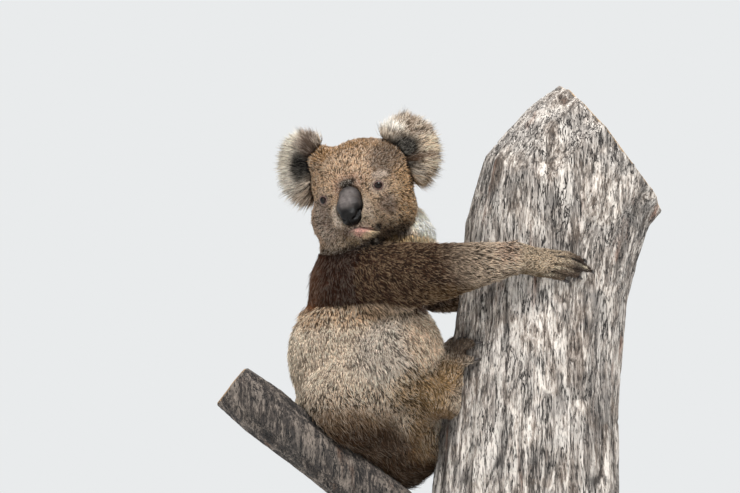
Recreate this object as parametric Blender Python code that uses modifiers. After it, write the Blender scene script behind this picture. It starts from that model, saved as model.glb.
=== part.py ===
"""Koala clinging to a forked gum trunk: a life-size museum model on a display stand.

Metres, +Z up. The origin is the middle of the stand's underside. The body faces +X, towards the
trunk, and the head is turned to its right, towards -Y. Flesh is modelled whole, out to the tips of
the coat, from overlapping balls and limbs that are melted together, and is then parted by cells
into its named pieces with a fine gap between them.
"""
import math

import bmesh
import bpy
from mathutils import Matrix, Vector, noise

GAP = 0.0004                  # clearance between touching solids
SHARP_FROM = 45.0             # degrees between faces from which an edge looks sharp

# ---------------------------------------------------------------- stand and perch sizes
BASE_LENGTH = 0.46
BASE_DEPTH = 0.34
BASE_THICK = 0.024
BASE_ROUNDING = 0.004
ROD_RADIUS = 0.009
ROD_SPREAD = 0.055            # each rod's distance from the trunk's middle
PERCH_FOOT = 0.088            # height of the trunk's sawn lower end
# Trunk: (x, z, radius) up its middle line, which lies in the plane Y = 0
TRUNK = [(0.052, 0.088, 0.132), (0.056, 0.170, 0.130), (0.0615, 0.250, 0.128), (0.070, 0.372, 0.122),
         (0.081, 0.456, 0.118), (0.091, 0.526, 0.117), (0.1005, 0.596, 0.122), (0.1180, 0.655, 0.126),
         (0.1500, 0.697, 0.120), (0.1830, 0.7235, 0.115)]
# Limb: (point, radius), from inside the trunk out to its sawn end
LIMB = [((0.030, -0.002, 0.106), 0.047), ((-0.078, -0.030, 0.182), 0.041), ((-0.179, -0.066, 0.261), 0.0365),
        ((-0.262, -0.076, 0.326), 0.0355), ((-0.345, -0.080, 0.391), 0.034)]
BARK_LUMP = 0.012             # size of the swellings under the bark
BARK_RIDGES = 16              # long ridges of bark round the trunk
RIDGE_HEIGHT = 0.0075         # from the bottom of the deepest furrow to the top of the highest ridge
RIDGE_WANDER = 0.012          # how far a ridge strays sideways

# ---------------------------------------------------------------- body sizes
CHEST = ((-0.1600, 0.0, 0.524), (0.080, 0.090, 0.085))
SHOULDERS = ((-0.158, 0.0, 0.545), (0.066, 0.102, 0.050))
THROAT = ((-0.129, 0.020, 0.588), (0.070, 0.066, 0.071))
ABDOMEN = ((-0.161, 0.0, 0.434), (0.110, 0.106, 0.106))
PELVIS = ((-0.154, 0.0, 0.356), (0.107, 0.101, 0.099))
RUMP = ((-0.119, 0.0, 0.317), (0.070, 0.082, 0.071))
NECK = [(Vector((-0.168, 0.000, 0.555)), 0.062), (Vector((-0.168, -0.010, 0.600)), 0.056),
        (Vector((-0.168, -0.024, 0.655)), 0.056)]

HEAD_PLACE = Vector((-0.1665, -0.036, 0.6660))
HEAD_YAW = 18.0               # degrees past straight towards -Y, on towards -X
HEAD_PITCH = 5.0              # degrees downwards
HEAD_ROLL = 13.0              # degrees, the animal's left side raised

# In the head's own axes: x to the animal's right, y forwards, z up. Each form is (middle, radii)
CRANIUM = ((0, -0.016, 0.008), (0.073, 0.064, 0.063))
FLAT_FACE = ((0, 0.010, -0.012), (0.068, 0.054, 0.052))
MUZZLE = ((0, 0.045, -0.036), (0.038, 0.040, 0.034))
NOSE_BRIDGE = ((0, 0.044, -0.016), (0.025, 0.026, 0.028))
CHIN = ((0, 0.040, -0.058), (0.030, 0.032, 0.024))
CHEEK_RADII = (0.040, 0.047, 0.042)
EAR_ROOT_RADII = (0.027, 0.026, 0.028)
NOSE_FORMS = [((0, 0.0600, -0.0130), (0.0165, 0.0135, 0.0160)),
              ((0, 0.0695, -0.0250), (0.0190, 0.0180, 0.0170)),
              ((0, 0.0745, -0.0385), (0.0160, 0.0165, 0.0150))]
EYE_RADIUS = 0.0085
EYE_PLACE = (0.0390, 0.0455, -0.0065)
EAR_PLACE = (0.0800, -0.0180, 0.0470)
EAR_RADII = (0.0460, 0.0185, 0.0550)
EAR_LIFT = {"right": 0.006, "left": -0.008}      # each ear is carried at its own height
CHEEK_REACH = {"right": 0.043, "left": 0.032}    # the tilted head pushes its right cheek out
EAR_OUTWARD_TURN = 12.0       # degrees
EAR_OUTWARD_LEAN = 18.0

# Arms: (point, radius) from the shoulder to the wrist
ARM_RIGHT = [((-0.150, -0.068, 0.540), 0.0500), ((-0.112, -0.100, 0.540), 0.0465),
             ((-0.060, -0.136, 0.543), 0.0405), ((-0.014, -0.145, 0.552), 0.0330),
             ((0.040, -0.134, 0.562), 0.0235)]
ARM_LEFT = [((-0.132, 0.064, 0.560), 0.0540), ((-0.096, 0.098, 0.554), 0.0480),
            ((-0.046, 0.136, 0.540), 0.0405), ((0.000, 0.146, 0.540), 0.0330),
            ((0.050, 0.134, 0.550), 0.0235)]
# Legs, on the left side: (point, radius) from the hip to the knee, and from the knee to the ankle
THIGH = [((-0.176, 0.054, 0.368), 0.0760), ((-0.138, 0.070, 0.410), 0.0660),
         ((-0.107, 0.080, 0.4385), 0.0560)]
SHANK = [((-0.112, 0.080, 0.428), 0.0440), ((-0.086, 0.080, 0.392), 0.0340),
         ((-0.064, 0.077, 0.368), 0.0270)]
LEFT_LEG_LIFT = 0.012         # the far leg grips a little higher
SOLE_ANGLE = 149.0            # degrees round the trunk, from the side away from the animal
HEEL_HEIGHT = 0.366
TOE_ROOT_HEIGHT = 0.428
PALM_ANGLE = 103.0

CLAW_RADIUS = 0.0028
HAND_CLAW_LENGTH = 0.0150
FOOT_CLAW_LENGTH = 0.0130

# ---------------------------------------------------------------- where the flesh is parted
NECK_CELL = ((-0.168, 0.0, 0.580), (0.0, -0.15, 1.0), 0.072)      # start, direction and radius
CHEST_CELL = ((-0.165, 0.0, 0.492), (-0.10, 0.0, 1.0))            # all that lies past this plane
RUMP_CELL = ((-0.155, 0.0, 0.352), (0.25, 0.0, -1.0))
THIGH_CELL_RADII = (0.084, 0.062, 0.080)
THIGH_CELL_SHIFT = (0.020, 0.020, 0.004)      # from the thigh's middle, outwards on its own side
SHANK_SLEEVE = 1.45                           # cell radius over limb radius
UPPER_ARM_SLEEVE = 1.22

PALETTE = {                   # name: (colour, roughness, metallic)
    "grey_fur": ((0.36, 0.31, 0.26), 0.90, 0.0),
    "brown_fur": ((0.22, 0.14, 0.09), 0.90, 0.0),
    "nose_leather": ((0.035, 0.033, 0.035), 0.50, 0.0),
    "eye": ((0.030, 0.014, 0.010), 0.08, 0.0),
    "claw": ((0.030, 0.024, 0.020), 0.35, 0.0),
    "bark": ((0.45, 0.41, 0.37), 0.95, 0.0),
    "limb_bark": ((0.20, 0.18, 0.16), 0.95, 0.0),
    "stand_paint": ((0.030, 0.030, 0.032), 0.45, 0.0),
    "stand_steel": ((0.55, 0.55, 0.56), 0.30, 1.0),
}


# ---------------------------------------------------------------- scene and materials
def clear_scene():
    for obj in list(bpy.data.objects):
        bpy.data.objects.remove(obj)


def collection(name):
    made = bpy.data.collections.new(name)
    bpy.context.scene.collection.children.link(made)
    return made


def material(name):
    if name in bpy.data.materials:
        return bpy.data.materials[name]
    colour, roughness, metallic = PALETTE[name]
    made = bpy.data.materials.new(name)
    made.use_nodes = True
    shader = made.node_tree.nodes["Principled BSDF"]
    shader.inputs["Base Color"].default_value = (*colour, 1)
    shader.inputs["Roughness"].default_value = roughness
    shader.inputs["Metallic"].default_value = metallic
    return made


def finish(obj, name, material_name):
    """Gives a solid its node name, smooth shading and material, and moves it to the model's collection."""
    obj.name = name
    obj.data.name = name
    obj.data.shade_smooth()
    obj.data.set_sharp_from_angle(angle=math.radians(SHARP_FROM))
    obj.data.materials.clear()
    obj.data.materials.append(material(material_name))
    for owner in list(obj.users_collection):
        owner.objects.unlink(obj)
    MODEL.objects.link(obj)
    return obj


# ---------------------------------------------------------------- rough forms
def linked(mesh, name="form"):
    obj = bpy.data.objects.new(name, mesh)
    WORK.objects.link(obj)
    return obj


def ball(centre, radii, turn=None, detail=3):
    """An ellipsoid. turn is the rotation of its axes."""
    bm = bmesh.new()
    bmesh.ops.create_icosphere(bm, subdivisions=detail, radius=1)
    place = Matrix.Translation(Vector(centre))
    if turn is not None:
        place = place @ turn.to_4x4()
    size = radii if hasattr(radii, "__len__") else (radii, radii, radii)
    bm.transform(place @ Matrix.Diagonal((*size, 1)))
    mesh = bpy.data.meshes.new("ball")
    bm.to_mesh(mesh)
    bm.free()
    return linked(mesh)


def box(centre, sides, turn=None):
    bm = bmesh.new()
    bmesh.ops.create_cube(bm, size=1)
    place = Matrix.Translation(Vector(centre))
    if turn is not None:
        place = place @ turn.to_4x4()
    bm.transform(place @ Matrix.Diagonal((*sides, 1)))
    mesh = bpy.data.meshes.new("box")
    bm.to_mesh(mesh)
    bm.free()
    return linked(mesh)


def along(points, per_span=6):
    """Points on one smooth curve through the given (point, radius) pairs, by Catmull-Rom."""
    rows = [Vector((*point, radius)) for point, radius in points]
    rows = [2 * rows[0] - rows[1], *rows, 2 * rows[-1] - rows[-2]]
    found = []
    for i in range(1, len(rows) - 2):
        a, b, c, d = rows[i - 1:i + 3]
        for step in range(per_span):
            t = step / per_span
            found.append(0.5 * (2 * b + (c - a) * t + (2 * a - 5 * b + 4 * c - d) * t * t
                                + (3 * b - a - 3 * c + d) * t ** 3))
    found.append(rows[-2])
    return [(row.xyz, row.w) for row in found]


def tapered_tube(points, sides=6, per_span=6):
    """A mesh tube through (point, radius) pairs. sides is the bevel resolution of the curve it is made on."""
    curve = bpy.data.curves.new("tube", "CURVE")
    curve.dimensions = "3D"
    curve.bevel_depth = 1.0
    curve.bevel_resolution = sides
    curve.use_fill_caps = True
    spline = curve.splines.new("POLY")
    path = along(points, per_span)
    spline.points.add(len(path) - 1)
    for spot, (point, radius) in zip(spline.points, path):
        spot.co = (*point, 1)
        spot.radius = radius
    guide = bpy.data.objects.new("guide", curve)
    WORK.objects.link(guide)
    bpy.context.view_layer.update()
    mesh = bpy.data.meshes.new_from_object(guide.evaluated_get(bpy.context.evaluated_depsgraph_get()))
    bpy.data.objects.remove(guide)
    bm = bmesh.new()
    bm.from_mesh(mesh)
    bmesh.ops.remove_doubles(bm, verts=bm.verts, dist=1e-6)
    bmesh.ops.recalc_face_normals(bm, faces=bm.faces)
    bm.to_mesh(mesh)
    bm.free()
    return linked(mesh)


def limb(points, detail=6):
    """A round-ended tapered limb, as forms to melt together."""
    ends = [ball(points[0][0], points[0][1]), ball(points[-1][0], points[-1][1])]
    return [tapered_tube(points, detail), *ends]


# ---------------------------------------------------------------- melting and parting
def apply_modifiers(obj):
    """Leaves the object with the mesh that its modifiers make."""
    bpy.context.view_layer.update()
    graph = bpy.context.evaluated_depsgraph_get()
    mesh = bpy.data.meshes.new_from_object(obj.evaluated_get(graph))
    obj.modifiers.clear()
    obj.data = mesh
    return obj


def joined(objects):
    """One object holding the meshes of all, which are removed."""
    bm = bmesh.new()
    for obj in objects:
        bm.from_mesh(obj.data)
        bpy.data.objects.remove(obj)
    mesh = bpy.data.meshes.new("joined")
    bm.to_mesh(mesh)
    bm.free()
    return linked(mesh)


def melt(forms, voxel, smoothing, triangles):
    """One smooth closed skin round overlapping forms, thinned to about that many triangles."""
    obj = joined(forms)
    remesh = obj.modifiers.new("melt", "REMESH")
    remesh.mode = "VOXEL"
    remesh.voxel_size = voxel
    smooth = obj.modifiers.new("smooth", "SMOOTH")
    smooth.factor = 0.5
    smooth.iterations = smoothing
    apply_modifiers(obj)
    thin = obj.modifiers.new("thin", "DECIMATE")
    thin.ratio = min(1.0, triangles / (2 * len(obj.data.polygons)))
    apply_modifiers(obj)
    return obj


def closed(mesh):
    bm = bmesh.new()
    bm.from_mesh(mesh)
    whole = len(bm.faces) > 0 and all(edge.is_manifold for edge in bm.edges)
    bm.free()
    return whole


def boolean(obj, other, operation):
    """Cuts the object by the other one: with the exact solver, or by Manifold's where that leaves a hole."""
    uncut = obj.data.copy()
    for solver in ("EXACT", "MANIFOLD"):
        obj.data = uncut.copy()
        cut = obj.modifiers.new(operation.lower(), "BOOLEAN")
        cut.operation = operation
        cut.solver = solver
        cut.object = other
        apply_modifiers(obj)
        if closed(obj.data):
            break
    return obj


def copy_of(obj):
    return linked(obj.data.copy())


def grown(obj, by=GAP):
    """A copy whose surface lies that much further out."""
    made = copy_of(obj)
    swell = made.modifiers.new("swell", "DISPLACE")
    swell.direction = "NORMAL"
    swell.mid_level = 0.0
    swell.strength = by
    return apply_modifiers(made)


def main_body(obj):
    """Drops the crumbs that a cut can leave, and keeps the largest closed body."""
    bm = bmesh.new()
    bm.from_mesh(obj.data)
    bmesh.ops.remove_doubles(bm, verts=bm.verts, dist=2e-5)
    bm.verts.ensure_lookup_table()
    unseen = set(bm.verts)
    islands = []
    while unseen:
        edge = [unseen.pop()]
        island = set(edge)
        while edge:
            vert = edge.pop()
            for link in vert.link_edges:
                other = link.other_vert(vert)
                if other in unseen:
                    unseen.discard(other)
                    island.add(other)
                    edge.append(other)
        islands.append(island)
    islands.sort(key=len)
    for island in islands[:-1]:
        bmesh.ops.delete(bm, geom=list(island), context="VERTS")
    bmesh.ops.triangulate(bm, faces=bm.faces)
    bm.to_mesh(obj.data)
    bm.free()
    return obj


def carve(body, cell, name, material_name):
    """Takes the part of the body inside the cell as a node of its own, a gap away from what is left."""
    piece = boolean(copy_of(body), cell, "INTERSECT")
    wider = grown(cell)
    boolean(body, wider, "DIFFERENCE")
    bpy.data.objects.remove(wider)
    bpy.data.objects.remove(cell)
    return finish(main_body(piece), name, material_name)


def half_space(point, direction, reach=0.5):
    """A large box that holds everything on the direction's side of the point."""
    turn = Vector(direction).to_track_quat("Z", "Y").to_matrix()
    centre = Vector(point) + Vector(direction).normalized() * reach / 2
    return box(centre, (reach, reach, reach), turn)


def cell_beyond(point, direction, width, length):
    """A box that starts at the point and runs along the direction, that wide each way."""
    turn = Vector(direction).to_track_quat("Z", "Y").to_matrix()
    centre = Vector(point) + Vector(direction).normalized() * length / 2
    return box(centre, (width, width, length), turn)


def cylinder(point, direction, radius, length):
    """A cylinder that starts at the point and runs along the direction."""
    direction = Vector(direction).normalized()
    bm = bmesh.new()
    bmesh.ops.create_cone(bm, cap_ends=True, segments=16, radius1=radius, radius2=radius, depth=length)
    turn = direction.to_track_quat("Z", "Y").to_matrix().to_4x4()
    bm.transform(Matrix.Translation(Vector(point) + direction * length / 2) @ turn)
    mesh = bpy.data.meshes.new("cylinder")
    bm.to_mesh(mesh)
    bm.free()
    return linked(mesh)


def mirrored(points):
    """The same (point, radius) pairs on the body's right side, where Y is negative."""
    return [((x, -y, z), radius) for (x, y, z), radius in points]


def lifted(points, lift):
    return [((x, y, z + lift), radius) for (x, y, z), radius in points]


# ---------------------------------------------------------------- perch
def trunk_at(height):
    """(x of the middle line, its radius, its lean in radians) at that height."""
    for (x0, z0, r0), (x1, z1, r1) in zip(TRUNK, TRUNK[1:]):
        if height <= z1:
            break
    share = (height - z0) / (z1 - z0)
    return x0 + (x1 - x0) * share, r0 + (r1 - r0) * share, math.atan2(x1 - x0, z1 - z0)


def on_trunk(degrees, height, off):
    """A point that far off the bark. 0 degrees is the side away from the animal, -90 the near side."""
    x, radius, lean = trunk_at(height)
    angle = math.radians(degrees)
    across = radius / math.cos(lean)
    return Vector((x + (across + off) * math.cos(angle), (radius + off) * math.sin(angle), height))


def build_log(points, sides, per_span):
    """A trunk or limb as a tapered tube with gentle swellings and flat sawn ends."""
    log = tapered_tube(points, sides, per_span)
    swelling = bpy.data.textures.new("swelling", "CLOUDS")
    swelling.noise_scale = 0.11
    swell = log.modifiers.new("swellings", "DISPLACE")
    swell.texture = swelling
    swell.texture_coords = "LOCAL"
    swell.strength = BARK_LUMP
    return apply_modifiers(log)


def raise_ridges(log):
    """Gives every second line of points up the trunk a ridge of bark, and the lines between a furrow."""
    step = math.pi / BARK_RIDGES
    line = [Vector((x, 0.0, z)) for x, z, _ in TRUNK]
    for vert in log.data.vertices:
        index = min(range(len(line) - 1), key=lambda i: (vert.co - (line[i] + line[i + 1]) / 2).length)
        rise = (line[index + 1] - line[index]).normalized()
        off = vert.co - line[index]
        off -= rise * off.dot(rise)
        sideways = rise.cross(off).normalized()
        number = round(math.atan2(off.y, off.dot(Vector((rise.z, 0, -rise.x)))) / step)
        own = noise.noise(Vector((number % (2 * BARK_RIDGES), vert.co.z * 6, 0)))
        height = RIDGE_HEIGHT * (0.30 + 0.45 * own)
        stray = RIDGE_WANDER * noise.noise(off.normalized() * 1.3 + Vector((0, 0, vert.co.z * 5)))
        vert.co += off.normalized() * (height if number % 2 else -height) + sideways * stray


def saw(log, point, direction):
    """Cuts the log flat at the point and keeps what lies on the direction's side."""
    keep = half_space(point, direction, 1.4)
    boolean(log, keep, "INTERSECT")
    bpy.data.objects.remove(keep)
    return main_body(log)


def build_perch():
    trunk_line = [((x, 0.0, z), radius) for x, z, radius in TRUNK]
    foot_point, foot_radius = trunk_line[0]
    buried = ((foot_point[0], 0.0, foot_point[2] - 0.03), foot_radius)
    trunk = build_log([buried, *trunk_line], BARK_RIDGES - 2, per_span=1)
    raise_ridges(trunk)
    saw(trunk, (0, 0, PERCH_FOOT), (0, 0, 1))
    branch = build_log(LIMB, 4, per_span=2)
    around_trunk = grown(trunk)
    boolean(branch, around_trunk, "DIFFERENCE")
    bpy.data.objects.remove(around_trunk)
    finish(trunk, "perch_trunk", "bark")
    finish(main_body(branch), "perch_limb", "limb_bark")
    return trunk, branch


# ---------------------------------------------------------------- stand
def build_stand():
    bpy.ops.mesh.primitive_cube_add(size=1, location=(0, 0, BASE_THICK / 2))
    base = bpy.context.object
    base.data.transform(Matrix.Diagonal((BASE_LENGTH, BASE_DEPTH, BASE_THICK, 1)))
    bevel = base.modifiers.new("rounded_edges", "BEVEL")
    bevel.width = BASE_ROUNDING
    bevel.segments = 2
    finish(base, "stand_base", "stand_paint")
    foot_x = TRUNK[0][0]
    length = PERCH_FOOT - BASE_THICK - 2 * GAP
    for number, side in enumerate((-1, 1), 1):
        place = (foot_x + side * ROD_SPREAD, 0, BASE_THICK + GAP + length / 2)
        bpy.ops.mesh.primitive_cylinder_add(vertices=24, radius=ROD_RADIUS, depth=length, location=place)
        finish(bpy.context.object, f"stand_rod_{number}", "stand_steel")


# ---------------------------------------------------------------- head
def head_axes():
    """The head's own axes as a matrix: x to the animal's right, y forwards, z up."""
    yaw, pitch, roll = (math.radians(a) for a in (HEAD_YAW, HEAD_PITCH, HEAD_ROLL))
    forward = Vector((-math.sin(yaw) * math.cos(pitch), -math.cos(yaw) * math.cos(pitch), -math.sin(pitch)))
    up = (Vector((0, 0, 1)) - forward * forward.z).normalized()
    up = Matrix.Rotation(-roll, 3, -forward) @ up
    return Matrix((forward.cross(up), forward, up)).transposed()


HEAD_TURN = head_axes()
HEAD_SIDES = ((1, "right"), (-1, "left"))


def in_head(point):
    """A place given in the head's own axes, in the model's frame."""
    return HEAD_PLACE + HEAD_TURN @ Vector(point)


def neck_cut():
    """(point, direction) of the cut between neck and head, which rises from the chin to the nape."""
    return in_head((0, -0.010, -0.068)), (HEAD_TURN @ Vector((0, 0.30, 0.95))).normalized()


def head_ball(centre, radii):
    return ball(in_head(centre), radii, HEAD_TURN)


def head_forms():
    forms = [head_ball(*form) for form in (CRANIUM, FLAT_FACE, MUZZLE, NOSE_BRIDGE, CHIN)]
    for side, word in HEAD_SIDES:
        forms.append(head_ball((side * CHEEK_REACH[word], -0.004, -0.033), CHEEK_RADII))
        ear_root = (side * 0.046, -0.020, 0.038 + EAR_LIFT[word] * 1.2)
        forms.append(head_ball(ear_root, EAR_ROOT_RADII))
    return forms


def ear_turn(side):
    """The ear's axes: it leans outwards and faces forwards and a little out."""
    turn = Matrix.Rotation(math.radians(-EAR_OUTWARD_TURN * side), 3, "Z")
    lean = Matrix.Rotation(math.radians(EAR_OUTWARD_LEAN * side), 3, "Y")
    return HEAD_TURN @ turn @ lean


def build_ear(side, word):
    turn = ear_turn(side)
    spot = in_head((side * EAR_PLACE[0], EAR_PLACE[1], EAR_PLACE[2] + EAR_LIFT[word]))
    rim = ball(spot, EAR_RADII, turn)
    lobe = ball(spot + turn @ Vector((-side * 0.016, 0.0, -0.020)), (0.032, 0.018, 0.034), turn)
    dish = ball(spot + turn @ Vector((0, 0.026, 0.002)), (0.030, 0.0165, 0.036), turn, detail=2)
    ear = melt([rim, lobe], 0.0035, 4, 170)
    boolean(ear, dish, "DIFFERENCE")
    bpy.data.objects.remove(dish)
    return ear


def build_head():
    """Head with its eyes, nose and ears, cut free of the neck."""
    head = melt(head_forms() + limb(NECK), 0.004, 10, 780)
    nose = melt([head_ball(*form) for form in NOSE_FORMS], 0.0022, 4, 160)
    around_nose = grown(nose)
    boolean(head, around_nose, "DIFFERENCE")
    bpy.data.objects.remove(around_nose)
    finish(nose, "nose", "nose_leather")
    for side, word in HEAD_SIDES:
        eye_centre = in_head((side * EYE_PLACE[0], EYE_PLACE[1], EYE_PLACE[2]))
        gaze = HEAD_TURN @ Vector((side * 0.50, 0.86, 0.06)).normalized()
        orbit = ball(eye_centre + gaze * 0.0085, (0.0098, 0.0098, 0.0080), HEAD_TURN, detail=2)
        boolean(head, orbit, "DIFFERENCE")
        bpy.data.objects.remove(orbit)
        eye = ball(eye_centre, EYE_RADIUS, detail=2)
        socket = ball(eye_centre, EYE_RADIUS + GAP, detail=2)
        boolean(head, socket, "DIFFERENCE")
        bpy.data.objects.remove(socket)
        finish(eye, f"eye_{word}", "eye")
        ear = build_ear(side, word)
        inside = grown(head)
        boolean(ear, inside, "DIFFERENCE")
        bpy.data.objects.remove(inside)
        finish(main_body(ear), f"ear_{word}", "brown_fur")
    above_neck = half_space(*neck_cut())
    boolean(head, above_neck, "INTERSECT")
    bpy.data.objects.remove(above_neck)
    return finish(main_body(head), "head", "brown_fur")


# ---------------------------------------------------------------- hands and feet
def digit(root, knuckle, tip, radius):
    """Forms of one bent digit: (forms, tip, direction at the tip)."""
    forms = limb([(root, radius * 1.15), (knuckle, radius), (tip, radius * 0.80)], detail=3)
    return forms, Vector(tip), (Vector(tip) - Vector(knuckle)).normalized()


def build_claw(name, tip, ahead, inward, length, thick, clear_of):
    """A curved claw that leaves the digit's tip ahead and bends in towards the bark."""
    start = tip + ahead * thick * 0.8
    points = [(start, thick), (start + ahead * length * 0.42 + inward * length * 0.10, thick * 0.82),
              (start + ahead * length * 0.72 + inward * length * 0.42, thick * 0.52),
              (start + ahead * length * 0.82 + inward * length * 0.86, thick * 0.16)]
    claw = tapered_tube(points, 1, per_span=1)
    for other in clear_of:
        boolean(claw, other, "DIFFERENCE")
    return finish(main_body(claw), name, "claw")


def inward_at(point):
    """The direction from a point straight in towards the trunk's middle line."""
    x, _, _ = trunk_at(point.z)
    return (Vector((x, 0, point.z)) - point).normalized()


def build_paw(name, base_forms, digits, bark, claw_length, triangles, cell):
    """A hand or foot and its claws. digits holds (root, knuckle, tip, radius, clawed) for each."""
    forms = list(base_forms)
    tips = []
    for root, knuckle, tip, radius, clawed in digits:
        made, end, ahead = digit(root, knuckle, tip, radius)
        forms += made
        if clawed:
            tips.append((end, ahead, radius))
    paw = melt(forms, 0.0026, 3, triangles)
    boolean(paw, bark, "DIFFERENCE")
    boolean(paw, cell, "INTERSECT")
    main_body(paw)
    around_paw = grown(paw)
    for number, (end, ahead, radius) in enumerate(tips, 1):
        build_claw(f"claw_{name}_{number}", end, ahead, inward_at(end), claw_length, CLAW_RADIUS,
                   (around_paw, bark))
    bpy.data.objects.remove(around_paw)
    return finish(paw, name, "brown_fur")


def laid_digits(side, angle, height, rows):
    """Digits along the bark, from rows of degrees and metres off the palm or sole. side -1 is the right."""
    made = []
    for turn, rise, knuckle, tip, radius, clawed in rows:
        root = on_trunk(side * (angle - turn), height + rise, radius * 1.7)
        bend = on_trunk(side * (angle - knuckle[0]), height + knuckle[1], knuckle[2])
        end = on_trunk(side * (angle - tip[0]), height + tip[1], radius)
        made.append((root, bend, end, radius, clawed))
    return made


# (start degrees, rise, knuckle (degrees, rise, height off the bark), tip (degrees, rise), radius, clawed)
HAND_DIGITS = [
    (0, 0.0110, (9, 0.0100, 0.0095), (19, 0.0060), 0.0060, True),
    (7, 0.0070, (20, 0.0070, 0.0110), (30, 0.0010), 0.0062, True),
    (6, 0.0000, (21, -0.0020, 0.0150), (36, -0.0135), 0.0081, True),
    (6, -0.0110, (18, -0.0145, 0.0140), (28, -0.0215), 0.0077, True),
    (4, -0.0170, (12, -0.0210, 0.0120), (20, -0.0270), 0.0065, True),
]
FOOT_DIGITS = [  # fourth toe, second and third toes that share one sheath, fifth toe, clawless great toe
    (2, 0.005, (7, 0.0175, 0.0130), (12, 0.0195), 0.0086, True),
    (-3, 0.004, (-3, 0.0150, 0.0120), (0, 0.0240), 0.0065, True),
    (-7, 0.000, (-9, 0.0120, 0.0120), (-8, 0.0220), 0.0065, True),
    (5, -0.009, (10, -0.0040, 0.0130), (13.5, -0.0030), 0.0080, True),
    (-12, -0.016, (-21, -0.0110, 0.0110), (-28, -0.0020), 0.0086, False),
]


def build_hand(word, side, arm, bark):
    wrist = Vector(arm[-1][0])
    height = wrist.z - 0.0015
    palm = on_trunk(side * PALM_ANGLE, height - 0.0030, 0.0135)
    knuckles = on_trunk(side * (PALM_ANGLE - 8), height - 0.0050, 0.0125)
    forms = limb([arm[-2], arm[-1], (palm, 0.0195), (knuckles, 0.0160)], detail=4)
    for rise in (-0.009, 0.009):
        forms.append(ball(knuckles + Vector((0, 0, rise)), 0.0115))
    ahead = (palm - Vector(arm[-2][0])).normalized()
    beyond = cell_beyond(wrist, ahead, 0.16, 0.16)
    digits = laid_digits(side, PALM_ANGLE, height, HAND_DIGITS)
    build_paw(f"hand_{word}", forms, digits, bark, HAND_CLAW_LENGTH, 380, beyond)
    bpy.data.objects.remove(beyond)
    return wrist, ahead


def sole_line(side, lift):
    """(point, radius) pairs from the heel to the toes' roots, up the bark."""
    middle = (HEEL_HEIGHT + TOE_ROOT_HEIGHT) / 2
    return [(on_trunk(side * (SOLE_ANGLE - 1), HEEL_HEIGHT + lift, 0.0210), 0.0235),
            (on_trunk(side * SOLE_ANGLE, middle + lift, 0.0185), 0.0205),
            (on_trunk(side * (SOLE_ANGLE + 1), TOE_ROOT_HEIGHT + lift, 0.0160), 0.0185)]


def build_foot(word, side, lift, bark):
    sole = sole_line(side, lift)
    heel, toe_root = sole[0][0], sole[-1][0]
    beyond = cell_beyond(heel - (toe_root - heel) * 0.30, toe_root - heel, 0.2, 0.2)
    digits = laid_digits(side, SOLE_ANGLE + 1, toe_root.z, FOOT_DIGITS)
    build_paw(f"foot_{word}", limb(sole, detail=4), digits, bark, FOOT_CLAW_LENGTH, 280, beyond)
    bpy.data.objects.remove(beyond)


# ---------------------------------------------------------------- body
def torso_forms():
    forms = [ball(*CHEST), ball(*SHOULDERS), ball(*THROAT), ball(*ABDOMEN), ball(*PELVIS), ball(*RUMP)]
    return forms + limb(NECK)


def sleeve(points, factor):
    """A cell that fits loosely round a limb."""
    return tapered_tube([(point, radius * factor) for point, radius in points], 3, per_span=1)


def cut_away(body, cutter):
    boolean(body, cutter, "DIFFERENCE")
    bpy.data.objects.remove(cutter)


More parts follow.
